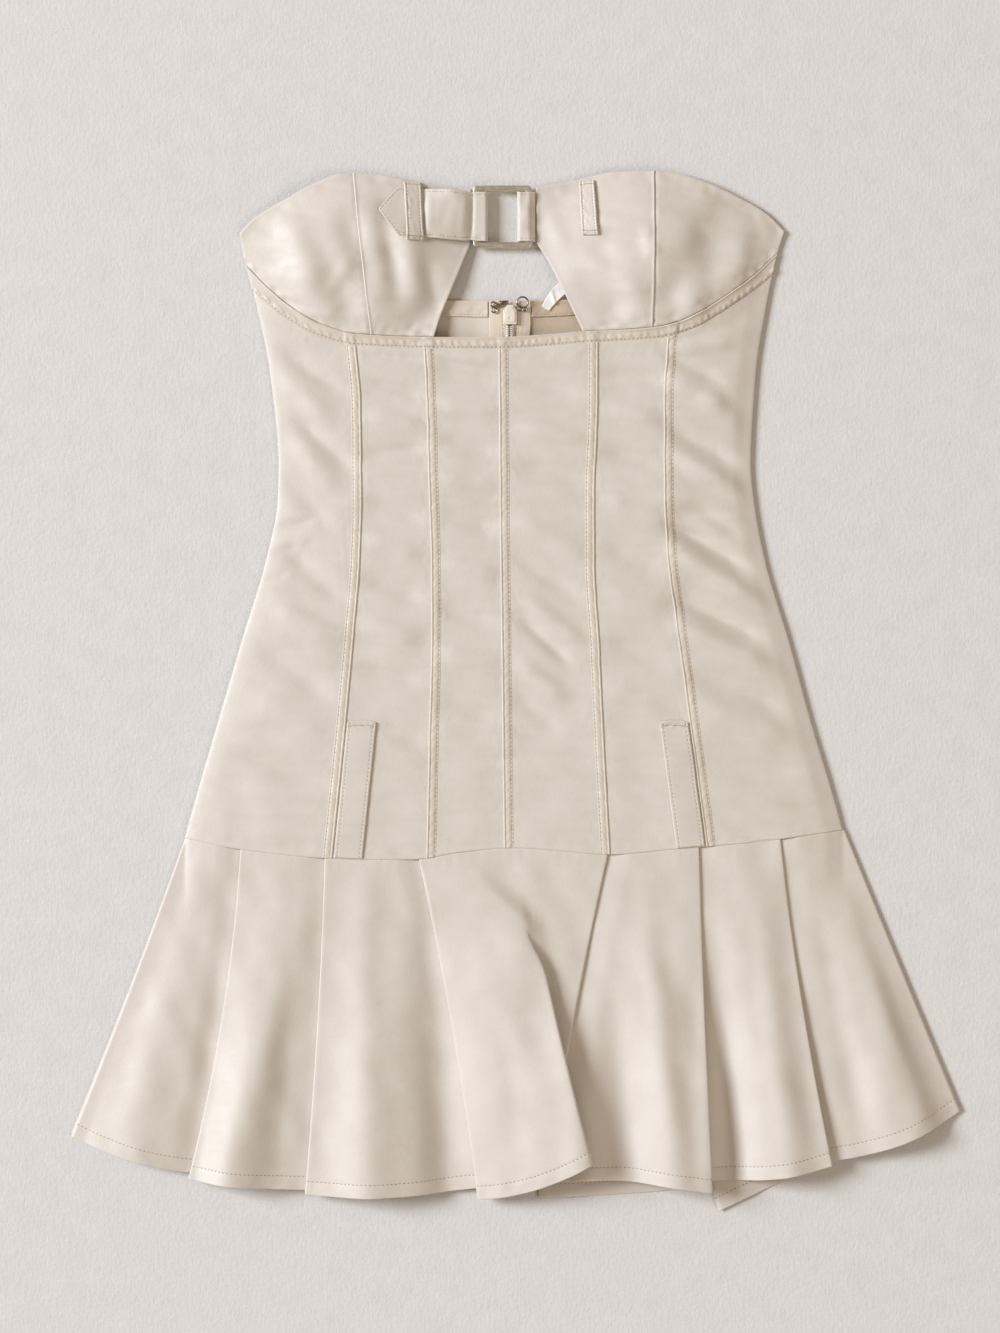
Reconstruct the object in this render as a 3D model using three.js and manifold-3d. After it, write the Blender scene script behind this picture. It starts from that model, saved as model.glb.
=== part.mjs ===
import * as THREE from "three";
import { mergeVertices } from "three/addons/utils/BufferGeometryUtils.js";
import Module from "manifold-3d";

// A strapless dress with a flared pleated skirt band, laid face up.
// Millimetres, +Z up from the surface at z = 0, +Y towards the neckline, +X to the right as seen from above.

const wasm = await Module();
wasm.setup();

const CLOTH = 1.2; // wall of one layer of cloth
const GAP = 0.3; // between neighbouring pieces
const ON_CLOTH = CLOTH + GAP; // underside of what lies on a panel
const STRIP = 1.0; // wall of a boning channel, a facing or a zip tape
const FRONT_LIFT = 1.5; // underside of the front at the side seams, just above the back

const cream = new THREE.MeshStandardMaterial({ color: 0xddd2c4, roughness: 0.55 });
const creamSeam = new THREE.MeshStandardMaterial({ color: 0xd2c5b4, roughness: 0.6 });
const creamInside = new THREE.MeshStandardMaterial({ color: 0xc9bba8, roughness: 0.7 });
const tapeCloth = new THREE.MeshStandardMaterial({ color: 0xe3d9cc, roughness: 0.8 });
const ivory = new THREE.MeshStandardMaterial({ color: 0xeee6da, roughness: 0.4 });
const labelWhite = new THREE.MeshStandardMaterial({ color: 0xf6f3ee, roughness: 0.6 });
const paleMetal = new THREE.MeshStandardMaterial({ color: 0xb9b2a6, roughness: 0.35, metalness: 1 });

// The side edges of the body at each height.
const SIDES = [
  { y: 321, left: -193.2, right: 187.4 },
  { y: 306, left: -190.5, right: 182.6 },
  { y: 274, left: -181.7, right: 175.4 },
  { y: 222, left: -171.2, right: 167.2 },
  { y: 158, left: -165.3, right: 163.7 },
  { y: 134, left: -165.9, right: 165.9 },
  { y: 92, left: -174.0, right: 173.6 },
  { y: 36, left: -190.8, right: 190.2 },
  { y: -26, left: -209.0, right: 207.2 },
  { y: -64, left: -220.2, right: 218.8 },
  { y: -102, left: -230.8, right: 229.4 },
];

// The middle lines of the five boning channels at each height.
const BONES = [
  { y: 248, c1: -115.8, c2: -61.4, c3: -8.8, c4: 53.8, c5: 109.0 },
  { y: 200, c1: -111.6, c2: -59.0, c3: -8.4, c4: 53.6, c5: 106.4 },
  { y: 134, c1: -111.0, c2: -57.2, c3: -7.9, c4: 51.4, c5: 106.6 },
  { y: 92, c1: -112.2, c2: -55.9, c3: -7.5, c4: 51.4, c5: 109.1 },
  { y: 36, c1: -116.8, c2: -55.7, c3: -6.8, c4: 54.6, c5: 116.5 },
  { y: -26, c1: -122.4, c2: -57.2, c3: -6.1, c4: 57.5, c5: 125.0 },
  { y: -112, c1: -131.1, c2: -59.0, c3: -5.0, c4: 62.1, c5: 136.5 },
];

// The seam under the bust, from side to side.
const BUST_SEAM = [
  { x: -187.1, y: 296.4 },
  { x: -173.6, y: 282.4 },
  { x: -153.7, y: 266.3 },
  { x: -133.7, y: 255.5 },
  { x: -112.0, y: 249.5 },
  { x: -57.4, y: 247.2 },
  { x: -14.7, y: 247.0 },
  { x: 46.5, y: 250.9 },
  { x: 96.3, y: 254.1 },
  { x: 114.8, y: 258.6 },
  { x: 132.0, y: 267.0 },
  { x: 146.3, y: 276.3 },
  { x: 167.7, y: 292.2 },
  { x: 182.0, y: 305.5 },
];
const BAND_WIDTH = 8; // of the strip under the bust

// The free top edges of the two cups.
const LEFT_TOP = [
  { x: -193.2, y: 320.2 },
  { x: -184.5, y: 329.3 },
  { x: -160.3, y: 344.0 },
  { x: -137.6, y: 355.9 },
  { x: -126.7, y: 360.1 },
  { x: -114.8, y: 361.5 },
  { x: -97.3, y: 360.8 },
  { x: -78.4, y: 357.3 },
  { x: -46.2, y: 353.1 },
  { x: -28.0, y: 351.0 },
];
const RIGHT_TOP = [
  { x: 13.3, y: 352.0 },
  { x: 43.4, y: 357.7 },
  { x: 69.3, y: 362.7 },
  { x: 96.3, y: 363.4 },
  { x: 110.6, y: 362.0 },
  { x: 132.0, y: 355.5 },
  { x: 153.3, y: 346.3 },
  { x: 174.8, y: 334.2 },
  { x: 187.6, y: 322.0 },
];

// The seam between the two pieces of each cup, and the edges of the keyhole with the cups' inner ends.
const CUP_SEAMS = [
  { y: 362, left: -114.4, right: 97.0 },
  { y: 300, left: -107.8, right: 96.6 },
  { y: 249, left: -101.6, right: 95.5 },
];
const KEYHOLE_LEFT = [
  { y: 247.3, x: -57.2 },
  { y: 261.0, x: -52.8 },
  { y: 277.7, x: -46.2 },
  { y: 302.0, x: -36.4 },
  { y: 313.9, x: -32.2 },
  { y: 352.0, x: -31.0 },
];
const KEYHOLE_RIGHT = [
  { y: 250.9, x: 46.6 },
  { y: 276.1, x: 34.7 },
  { y: 302.0, x: 21.6 },
  { y: 309.0, x: 17.2 },
  { y: 314.0, x: 14.2 },
  { y: 352.0, x: 13.7 },
];

// The hip seam, where the pleated flounce is sewn on.
const HIP_SEAM = [
  { x: -230.8, y: -102.1 },
  { x: -192.1, y: -109.6 },
  { x: -135.1, y: -115.5 },
  { x: -107.8, y: -116.6 },
  { x: -72.8, y: -116.6 },
  { x: -38.5, y: -111.5 },
  { x: -0.8, y: -108.5 },
  { x: 36.4, y: -111.0 },
  { x: 63.7, y: -113.1 },
  { x: 111.2, y: -109.3 },
  { x: 164.5, y: -104.7 },
  { x: 207.6, y: -99.1 },
  { x: 229.4, y: -96.0 },
];

// The top edge of the back, which dips behind the keyhole.
const BACK_TOP = [
  { x: -193.2, y: 319.5 },
  { x: -150.0, y: 301.0 },
  { x: -100.0, y: 283.0 },
  { x: -50.0, y: 273.8 },
  { x: -4.3, y: 272.6 },
  { x: 35.0, y: 274.0 },
  { x: 90.0, y: 281.5 },
  { x: 140.0, y: 297.0 },
  { x: 187.4, y: 319.5 },
];

// How high the middle of the front stands above its sides at each height.
const LOFT = [
  { y: 350, rise: 1.5 },
  { y: 314, rise: 1.5 },
  { y: 247, rise: 6.5 },
  { y: 134, rise: 6.0 },
  { y: 0, rise: 6.8 },
  { y: -105, rise: 7.5 },
];

// The rounded fullness of each cup.
const CUP_DOMES = [
  { x: -115, y: 308, wide: 84, high: 64, rise: 15 },
  { x: 100, y: 308, wide: 86, high: 64, rise: 15 },
];

// The largest folds of the front: a soft ridge (rise > 0) or trough (rise < 0) from one point to another.
const FRONT_FOLDS = [
  { fromX: -151, fromY: 325, toX: -118, toY: 272, width: 13, rise: -3.6 },
  { fromX: -162, fromY: 290, toX: -130, toY: 266, width: 9, rise: 2.2 },
  { fromX: -84, fromY: 306, toX: -66, toY: 268, width: 11, rise: -2.6 },
  { fromX: 60, fromY: 306, toX: 72, toY: 272, width: 11, rise: -2.6 },
  { fromX: 136, fromY: 328, toX: 112, toY: 276, width: 13, rise: -3.6 },
  { fromX: 158, fromY: 296, toX: 124, toY: 272, width: 9, rise: 2.2 },
  { fromX: -160, fromY: 178, toX: -132, toY: 138, width: 10, rise: -1.4 },
  { fromX: 118, fromY: 120, toX: 152, toY: 84, width: 10, rise: -1.6 },
  { fromX: 122, fromY: 66, toX: 158, toY: 38, width: 10, rise: -1.6 },
];

const lerp = (a, b, t) => a + (b - a) * t;
const clamp01 = (t) => Math.min(1, Math.max(0, t));
const smooth = (t) => clamp01(t) ** 2 * (3 - 2 * clamp01(t));
const spread = (count) => Array.from({ length: count + 1 }, (_, k) => k / count);

// A curve through the rows of a table without overshoot, straight beyond its ends.
function through(table, from, to) {
  const rows = [...table].sort((a, b) => a[from] - b[from]);
  const xs = rows.map((row) => row[from]);
  const ys = rows.map((row) => row[to]);
  const steps = xs.slice(1).map((x, k) => (ys[k + 1] - ys[k]) / (x - xs[k]));
  const slopes = xs.map((_, k) => {
    if (k === 0) return steps[0];
    if (k === xs.length - 1) return steps[k - 1];
    const [before, after] = [steps[k - 1], steps[k]];
    return before * after <= 0 ? 0 : (2 * before * after) / (before + after);
  });
  return (x) => {
    const last = xs.length - 1;
    if (x <= xs[0]) return ys[0] + slopes[0] * (x - xs[0]);
    if (x >= xs[last]) return ys[last] + slopes[last] * (x - xs[last]);
    const k = xs.findIndex((edge) => edge > x) - 1;
    const width = xs[k + 1] - xs[k];
    const t = (x - xs[k]) / width;
    return (
      ys[k] * (1 + 2 * t) * (1 - t) ** 2 +
      slopes[k] * width * t * (1 - t) ** 2 +
      ys[k + 1] * t * t * (3 - 2 * t) +
      slopes[k + 1] * width * t * t * (t - 1)
    );
  };
}

const bustSeam = through(BUST_SEAM, "x", "y");
const hipSeam = through(HIP_SEAM, "x", "y");
const backTop = through(BACK_TOP, "x", "y");
const leftTop = through(LEFT_TOP, "x", "y");
const rightTop = through(RIGHT_TOP, "x", "y");
const cupSeamLeft = through(CUP_SEAMS, "y", "left");
const cupSeamRight = through(CUP_SEAMS, "y", "right");
const keyholeLeft = through(KEYHOLE_LEFT, "y", "x");
const keyholeRight = through(KEYHOLE_RIGHT, "y", "x");
const bones = ["c1", "c2", "c3", "c4", "c5"].map((name) => through(BONES, "y", name));
const loft = through(LOFT, "y", "rise");
const sideCurves = { left: through(SIDES, "y", "left"), right: through(SIDES, "y", "right") };
const SIDE_TOP = SIDES[0].y;
const leftSide = (y) => sideCurves.left(Math.min(y, SIDE_TOP));
const rightSide = (y) => sideCurves.right(Math.min(y, SIDE_TOP));

// The lower edge of the strip under the bust, square to the seam.
function bandEdge(x) {
  const slope = bustSeam(x + 0.5) - bustSeam(x - 0.5);
  return bustSeam(x) - BAND_WIDTH * Math.hypot(1, slope);
}

const shifted = (edge, by) => (x) => edge(x) + by;
const beside = (line, offset) => (y) => line(y) + offset;
const between = (a, b, t) => (y) => lerp(a(y), b(y), t);

// The height of the front's underside above the surface.
function frontHeight(x, y) {
  const left = leftSide(y);
  const right = rightSide(y);
  const across = Math.min(1, Math.abs((2 * x - left - right) / (right - left)));
  const arch = Math.sqrt(1 - across ** 4);
  let height = loft(y);
  for (const dome of CUP_DOMES) {
    const away = ((x - dome.x) / dome.wide) ** 2 + ((y - dome.y) / dome.high) ** 2;
    height += dome.rise * Math.max(0, 1 - away) ** 1.5;
  }
  for (const fold of FRONT_FOLDS) {
    const [along, up] = [fold.toX - fold.fromX, fold.toY - fold.fromY];
    const t = clamp01(((x - fold.fromX) * along + (y - fold.fromY) * up) / (along ** 2 + up ** 2));
    const away = Math.hypot(x - fold.fromX - t * along, y - fold.fromY - t * up);
    height += fold.rise * Math.exp(-((away / fold.width) ** 2));
  }
  return FRONT_LIFT + arch * height;
}

// A point at a distance off the front's underside, square to it.
function frontPoint(x, y, off) {
  const step = 0.5;
  const normal = new THREE.Vector3(
    (frontHeight(x - step, y) - frontHeight(x + step, y)) / (2 * step),
    (frontHeight(x, y - step) - frontHeight(x, y + step)) / (2 * step),
    1,
  ).normalize();
  return new THREE.Vector3(x, y, frontHeight(x, y)).addScaledVector(normal, off);
}

// A closed mesh from points and triangles, turned to face out.
function closedMesh(name, points, faces, material) {
  const corner = (k) => points[faces[k]];
  let volume = 0;
  for (let k = 0; k < faces.length; k += 3)
    volume += corner(k).dot(new THREE.Vector3().crossVectors(corner(k + 1), corner(k + 2)));
  if (volume < 0) faces.reverse();
  const geometry = new THREE.BufferGeometry().setFromPoints(points);
  geometry.setIndex(faces);
  geometry.computeVertexNormals();
  const mesh = new THREE.Mesh(geometry, material);
  mesh.name = name;
  return mesh;
}

// A wall between two grids of points that have the same rows and columns.
function wall(name, lower, upper, material) {
  const rows = lower.length;
  const columns = lower[0].length;
  const low = (i, j) => i * columns + j;
  const high = (i, j) => rows * columns + low(i, j);
  const faces = [];
  const quad = (a, b, c, d) => faces.push(a, b, c, a, c, d);
  for (let i = 0; i < rows - 1; i++)
    for (let j = 0; j < columns - 1; j++) {
      quad(high(i, j), high(i + 1, j), high(i + 1, j + 1), high(i, j + 1));
      quad(low(i, j), low(i, j + 1), low(i + 1, j + 1), low(i + 1, j));
    }
  for (let i = 0; i < rows - 1; i++) {
    const last = columns - 1;
    quad(low(i, 0), low(i + 1, 0), high(i + 1, 0), high(i, 0));
    quad(high(i, last), high(i + 1, last), low(i + 1, last), low(i, last));
  }
  for (let j = 0; j < columns - 1; j++) {
    const last = rows - 1;
    quad(high(0, j), high(0, j + 1), low(0, j + 1), low(0, j));
    quad(low(last, j), low(last, j + 1), high(last, j + 1), high(last, j));
  }
  return closedMesh(name, [...lower.flat(), ...upper.flat()], faces, material);
}

// Where a column that runs across the body at each height meets an edge that runs along it.
function meet(column, edge) {
  let y = edge(column(0));
  for (let turn = 0; turn < 12; turn++) y = edge(column(y));
  return y;
}

// Plan points of a panel: its columns, cut by a top and a bottom edge.
function planGrid(columns, top, bottom, steps) {
  const ends = columns.map((column) => [meet(column, top), meet(column, bottom)]);
  return steps.map((t) =>
    columns.map((column, j) => {
      const y = lerp(ends[j][0], ends[j][1], t);
      return { x: column(y), y };
    }),
  );
}

// A wall that follows the front between two distances from its underside.
function frontWall(name, grid, from, to, material) {
  const offset = (off, i, j) => (typeof off === "function" ? off(i, j) : off);
  const layer = (off) => grid.map((row, i) => row.map((p, j) => frontPoint(p.x, p.y, offset(off, i, j))));
  return wall(name, layer(from), layer(to), material);
}

// Bodice: six panels, five boning channels over their seams, two pocket welts.
const SEAM_SIDE = GAP / 2; // from a seam line to each piece's edge
const CHANNEL_HALF = 3.5;
const BODICE_ROWS = [
  0, 1 / 12, 2 / 12, 3 / 12, 4 / 12, 5 / 12, 6 / 12, 7 / 12, 8 / 12, 0.74, 10 / 12, 11 / 12, 1,
];
const WELT_FIRST_ROW = 9;
const WELT_NEAR = 4.5; // from the channel's middle line to the welt's edges
const WELT_FAR = 24.4;
const SIDE_COLUMNS = [0, 0.025, 0.07, 0.14, 0.25, 0.4, 0.58, 0.78];
const bodiceTop = shifted(bandEdge, -SEAM_SIDE);
const bodiceBottom = shifted(hipSeam, SEAM_SIDE);
const bodiceWall = (name, columns) =>
  frontWall(name, planGrid(columns, bodiceTop, bodiceBottom, BODICE_ROWS), 0, CLOTH, cream);

function bodicePanels() {
  const [c1, c2, c3, c4, c5] = bones;
  const plain = (a, b) => [
    beside(a, SEAM_SIDE),
    beside(a, CHANNEL_HALF),
    between(a, b, 1 / 3),
    between(a, b, 2 / 3),
    beside(b, -CHANNEL_HALF),
    beside(b, -SEAM_SIDE),
  ];
  const leftSideColumns = SIDE_COLUMNS.map((t) => between(leftSide, c1, t));
  const rightSideColumns = SIDE_COLUMNS.map((t) => between(rightSide, c5, t)).reverse();
  return [
    bodiceWall("bodice_side_left", [...leftSideColumns, beside(c1, -CHANNEL_HALF), beside(c1, -SEAM_SIDE)]),
    bodiceWall("bodice_pocket_left", [
      beside(c1, SEAM_SIDE),
      ...[CHANNEL_HALF, WELT_NEAR, (WELT_NEAR + WELT_FAR) / 2, WELT_FAR].map((off) => beside(c1, off)),
      beside(c2, -CHANNEL_HALF),
      beside(c2, -SEAM_SIDE),
    ]),
    bodiceWall("bodice_centre_left", plain(c2, c3)),
    bodiceWall("bodice_centre_right", plain(c3, c4)),
    bodiceWall("bodice_pocket_right", [
      beside(c4, SEAM_SIDE),
      beside(c4, CHANNEL_HALF),
      ...[WELT_FAR, (WELT_NEAR + WELT_FAR) / 2, WELT_NEAR, CHANNEL_HALF].map((off) => beside(c5, -off)),
      beside(c5, -SEAM_SIDE),
    ]),
    bodiceWall("bodice_side_right", [beside(c5, SEAM_SIDE), beside(c5, CHANNEL_HALF), ...rightSideColumns]),
  ];
}

const boningChannels = () =>
  bones.map((line, k) => {
    const columns = [-CHANNEL_HALF, 0, CHANNEL_HALF].map((off) => beside(line, off));
    const grid = planGrid(columns, bodiceTop, bodiceBottom, BODICE_ROWS);
    return frontWall("boning_channel_" + (k + 1), grid, ON_CLOTH, ON_CLOTH + STRIP, creamSeam);
  });

function pocketWelt(name, line, side) {
  const offsets = [WELT_NEAR, (WELT_NEAR + WELT_FAR) / 2, WELT_FAR].map((off) => side * off);
  const columns = offsets.sort((a, b) => a - b).map((off) => beside(line, off));
  const grid = planGrid(columns, bodiceTop, bodiceBottom, BODICE_ROWS).slice(WELT_FIRST_ROW);
  return frontWall(name, grid, ON_CLOTH, ON_CLOTH + CLOTH, cream);
}

// The columns of the cups, left to right, which the band under them shares.
const SIDE_CUP_COLUMNS = [0, 0.03, 0.09, 0.18, 0.3, 0.43, 0.57, 0.71, 0.85];
const CENTRE_CUP_COLUMNS = [0.12, 0.26, 0.4, 0.55, 0.7, 0.85, 1];
const cupColumns = {
  sideLeft: SIDE_CUP_COLUMNS.map((t) => between(leftSide, cupSeamLeft, t)),
  centreLeft: CENTRE_CUP_COLUMNS.map((t) => between(cupSeamLeft, keyholeLeft, t)),
  centreRight: CENTRE_CUP_COLUMNS.map((t) => between(cupSeamRight, keyholeRight, t)).reverse(),
  sideRight: SIDE_CUP_COLUMNS.map((t) => between(rightSide, cupSeamRight, t)).reverse(),
};

function underbustBand() {
  const { sideLeft, centreLeft, centreRight, sideRight } = cupColumns;
  const keyhole = [1 / 3, 2 / 3].map((t) => between(keyholeLeft, keyholeRight, t));
  const leftColumns = [...sideLeft, cupSeamLeft, ...centreLeft];
  const columns = [...leftColumns, ...keyhole, ...centreRight, cupSeamRight, ...sideRight];
  const grid = planGrid(columns, shifted(bustSeam, -SEAM_SIDE), shifted(bandEdge, SEAM_SIDE), [0, 0.5, 1]);
  return frontWall("underbust_band", grid, 0, CLOTH, creamSeam);
}

// Bust cups: a side and a centre piece on each side of the keyhole.
const CUP_ROWS = spread(11);

function bustCups() {
  const bottom = shifted(bustSeam, SEAM_SIDE);
  const cup = (name, columns, top) =>
    frontWall(name, planGrid(columns, top, bottom, CUP_ROWS), 0, CLOTH, cream);
  const { sideLeft, centreLeft, centreRight, sideRight } = cupColumns;
  return [
    cup("cup_side_left", [...sideLeft, beside(cupSeamLeft, -SEAM_SIDE)], leftTop),
    cup("cup_centre_left", [beside(cupSeamLeft, SEAM_SIDE), ...centreLeft], leftTop),
    cup("cup_centre_right", [...centreRight, beside(cupSeamRight, -SEAM_SIDE)], rightTop),
    cup("cup_side_right", [beside(cupSeamRight, SEAM_SIDE), ...sideRight], rightTop),
  ];
}

// Belt: a rectangular buckle, a pointed end on its left bar, a strap on its right bar, two loops.
const BUCKLE = { left: -30, right: 11, bottom: 309.6, top: 353.2, bar: 4.2, corner: 3 };
const BUCKLE_Z = 4.5; // underside of the frame
const BUCKLE_WALL = 2.2;
const BUCKLE_BEVEL = 0.4;
const BELT_MIDDLE = (BUCKLE.bottom + BUCKLE.top) / 2;
const BELT_HALF = (BUCKLE.top - BUCKLE.bottom) / 2 - BUCKLE.bar - GAP;
const UNDER_BAR = BUCKLE_Z - GAP - CLOTH / 2; // middle of the ply below a bar
const OVER_BAR = BUCKLE_Z + BUCKLE_WALL + GAP + CLOTH / 2; // middle of the ply above a bar
const WRAP_RADIUS = (OVER_BAR - UNDER_BAR) / 2;
const WRAP_LEFT = -22.2; // centres of the two turns inside the buckle
const WRAP_RIGHT = 3.3;
const BELT_ON_CUP = CLOTH + 0.6 + CLOTH / 2; // middle of the belt above the cup's underside
const BELT = { tip: -95.2, shoulder: -82, foldStart: -32, cupEnd: -64, hump: 4.5, lean: 0.065 };

function roundedFrame(shape, left, right, bottom, top, corner) {
  shape.absarc(right - corner, bottom + corner, corner, -Math.PI / 2, 0);
  shape.absarc(right - corner, top - corner, corner, 0, Math.PI / 2);
  shape.absarc(left + corner, top - corner, corner, Math.PI / 2, Math.PI);
  shape.absarc(left + corner, bottom + corner, corner, Math.PI, 1.5 * Math.PI);
  return shape;
}

function buckle() {
  const b = BUCKLE;
  const rim = BUCKLE_BEVEL;
  const outline = roundedFrame(
    new THREE.Shape(), b.left + rim, b.right - rim, b.bottom + rim, b.top - rim, b.corner,
  );
  const inside = b.bar - rim;
  outline.holes.push(
    roundedFrame(
      new THREE.Path(), b.left + inside, b.right - inside, b.bottom + inside, b.top - inside, b.corner / 3,
    ),
  );
  const geometry = new THREE.ExtrudeGeometry(outline, {
    depth: BUCKLE_WALL - 2 * rim,
    bevelThickness: rim,
    bevelSize: rim,
    bevelSegments: 1,
    curveSegments: 3,
  });
  const mesh = new THREE.Mesh(geometry, paleMetal);
  mesh.name = "buckle";
  mesh.position.z = BUCKLE_Z + rim;
  return mesh;
}

// A strip with its width along Y, from the (x, z) points of its middle at each of its rows across.
function strip(name, rowsAcross, sectionAt, yAt, material) {
  const lower = [];
  const upper = [];
  for (const t of rowsAcross) {
    const section = sectionAt(t);
    const side = (sign) =>
      section.map((p, k) => {
        const before = section[Math.max(0, k - 1)];
        const after = section[Math.min(section.length - 1, k + 1)];
        const along = new THREE.Vector2(after.x - before.x, after.z - before.z).normalize();
        const off = (sign * CLOTH) / 2;
        return new THREE.Vector3(p.x - along.y * off, yAt(p.x, t), p.z + along.x * off);
      });
    lower.push(side(-1));
    upper.push(side(1));
  }
  return wall(name, lower, upper, material);
}

function turn(centreX, towards) {
  const angles = spread(4).map((t) => Math.PI * (t - 0.5));
  return angles.map((angle) => ({
    x: centreX + towards * WRAP_RADIUS * Math.cos(angle),
    z: (OVER_BAR + UNDER_BAR) / 2 + WRAP_RADIUS * Math.sin(angle),
  }));
}

const BELT_ROWS = [-1, -0.6, -0.2, 0.2, 0.6, 1];

function beltEnd() {
  const onTop = [-30.4, -33, -37, -42, -48, -54, -59, -64, -70, -76, -82, -88.5, -95.2];
  const alongTip = (x) => (x - BELT.tip) / (BELT.shoulder - BELT.tip);
  const halfWidth = (x) => BELT_HALF * Math.min(1, 0.05 + 0.95 * alongTip(x));
  const yAt = (x, t) => BELT_MIDDLE + BELT.lean * Math.max(0, BELT.foldStart - x) + t * halfWidth(x);
  const sectionAt = (t) => {
    const below = [{ x: keyholeLeft(BELT_MIDDLE) + 2 * GAP, z: UNDER_BAR }, { x: -26.5, z: UNDER_BAR }];
    const above = onTop.map((x) => {
      const onCup = frontHeight(x, yAt(x, t)) + BELT_ON_CUP;
      const blend = smooth((x - BELT.cupEnd) / (BELT.foldStart - BELT.cupEnd));
      const share = clamp01((x - BELT.cupEnd) / (BELT.foldStart - BELT.cupEnd));
      const hump = BELT.hump * Math.sin(Math.PI * share);
      return { x, z: lerp(onCup, OVER_BAR, blend) + hump };
    });
    return [...below, ...turn(WRAP_LEFT, 1), ...above];
  };
  return strip("belt_end", BELT_ROWS, sectionAt, yAt, cream);
}

function strapRight() {
  const seam = keyholeRight(BELT_MIDDLE) - GAP - 0.1;
  const atSeam = OVER_BAR - 2.2; // the strap's outer ply comes down to the cup's edge
  const sectionAt = () => [
    { x: seam, z: UNDER_BAR },
    { x: 8, z: UNDER_BAR },
    ...turn(WRAP_RIGHT, -1),
    { x: 8, z: OVER_BAR },
    { x: BUCKLE.right + 0.2, z: OVER_BAR },
    { x: seam, z: atSeam },
  ];
  return strip("strap_right", [-1, 0, 1], sectionAt, (x, t) => BELT_MIDDLE + t * BELT_HALF, cream);
}

function beltLoop(name, corners, raise) {
  const rows = [0, 0.075, 0.15, 0.5, 0.85, 0.925, 1];
  const grid = rows.map((t) =>
    spread(2).map((s) => ({
      x: lerp(
        lerp(corners.topLeft, corners.topRight, s),
        lerp(corners.bottomLeft, corners.bottomRight, s),
        t,
      ),
      y: lerp(corners.top, corners.bottom, t),
    })),
  );
  const up = (i) => ON_CLOTH + raise * smooth(Math.min(rows[i], 1 - rows[i]) / 0.075);
  return frontWall(name, grid, up, (i) => up(i) + CLOTH, cream);
}

const LEFT_LOOP = {
  top: 355.0, topLeft: -79.0, topRight: -67.0,
  bottom: 313.6, bottomLeft: -76.4, bottomRight: -65.4,
};
const RIGHT_LOOP = {
  top: 356.6, topLeft: 44.2, topRight: 55.0,
  bottom: 317.8, bottomLeft: 46.4, bottomRight: 57.6,
};
const OVER_BELT = CLOTH + 0.8; // how far the left loop steps up over the belt
const EMPTY_LOOP = 0.6; // how far the empty right loop stands off the cup

// Back: two halves with a zip between them, flat on the surface but lifted over the zip's pull.
const ZIP_X = -4.3;
const PULL = { y: 263, z: 1.6, length: 21.5, halfWidth: 2.5, wall: 0.8 };
const BACK_LIFT = 2.6;
const LIFT_HALF_WIDTH = 4.5; // of the raised part, on each side of the zip
const LIFT_BOTTOM = 239; // where the raised part starts to come down
const LIFT_RUN = 22; // over which it comes down
const ZIP_END = -86;
const TAPE_WIDTH = 13.6;

function backLift(x, y) {
  const across = 1 - smooth((Math.abs(x - ZIP_X) - LIFT_HALF_WIDTH) / LIFT_RUN);
  return BACK_LIFT * across * (1 - smooth((LIFT_BOTTOM - y) / LIFT_RUN));
}

// Half of the opening between the back's two halves: wider where the slider passes through.
const NECK_HALF = 0.6; // of the slider's neck, across
const zipHalf = (y) => SEAM_SIDE + 0.85 * (1 - smooth((Math.abs(y - PULL.y) - 6) / 12));

const BACK_ROWS = [0, 0.02, 0.045, 0.07, 0.095, 0.12, 0.15, 0.2, 0.3, 0.42, 0.55, 0.7, 0.85, 1];
const OUT_FROM_ZIP = [0, 3, 7, 12, 17, 22, 28];

function backWall(name, grid, from, to, material) {
  const layer = (off) =>
    grid.map((row) => row.map((p) => new THREE.Vector3(p.x, p.y, backLift(p.x, p.y) + off)));
  return wall(name, layer(from), layer(to), material);
}

const zipEdge = (side, off) => (y) => ZIP_X + side * (zipHalf(y) + off);

function backColumns(side, edge) {
  const near = OUT_FROM_ZIP.map((off) => zipEdge(side, off));
  const outer = near[near.length - 1];
  return [...near, ...[0.35, 0.7, 1].map((t) => between(outer, edge, t))];
}

function backHalf(name, side, edge) {
  const grid = planGrid(backColumns(side, edge), backTop, bodiceBottom, BACK_ROWS);
  return backWall(name, grid, 0, CLOTH, cream);
}

// The strip that faces the back's top edge inside.
const FACING_WIDTH = 11.2;
const FACING_END = 11; // from the side seam, where the front comes down on it
function backFacing(name, side, edge) {
  const first = zipEdge(side, TAPE_WIDTH + 2 * GAP);
  const outer = zipEdge(side, OUT_FROM_ZIP[OUT_FROM_ZIP.length - 1]);
  const columns = [first, zipEdge(side, 17), zipEdge(side, 22), outer];
  const end = beside(edge, -side * FACING_END);
  columns.push(...[0.18, 0.35, 0.52, 0.7, 0.85, 1].map((t) => between(outer, end, t)));
  const grid = planGrid(columns, backTop, shifted(backTop, -FACING_WIDTH), [0, 0.5, 1]);
  return backWall(name, grid, ON_CLOTH, ON_CLOTH + STRIP, creamInside);
}

const TAPE_ROWS = [0, 0.025, 0.05, 0.075, 0.1, 0.125, 0.16, 0.3, 0.6, 1];
const zipTape = (name, side) => {
  const columns = [0.25, 3, 7, 12, TAPE_WIDTH].map((off) => zipEdge(side, off));
  const grid = planGrid(columns, backTop, () => ZIP_END, TAPE_ROWS);
  return backWall(name, grid, ON_CLOTH, ON_CLOTH + STRIP, tapeCloth);
};

const COIL = { inner: 0.2, outer: 2.5, wall: 1.5 };
const COIL_Z = ON_CLOTH + STRIP + GAP;
const SLIDER = { top: 269.8, bottom: 256.2, halfWidth: 4.8, roof: 4.2, roofHalf: 1.8, wall: 2.6 };

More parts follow.
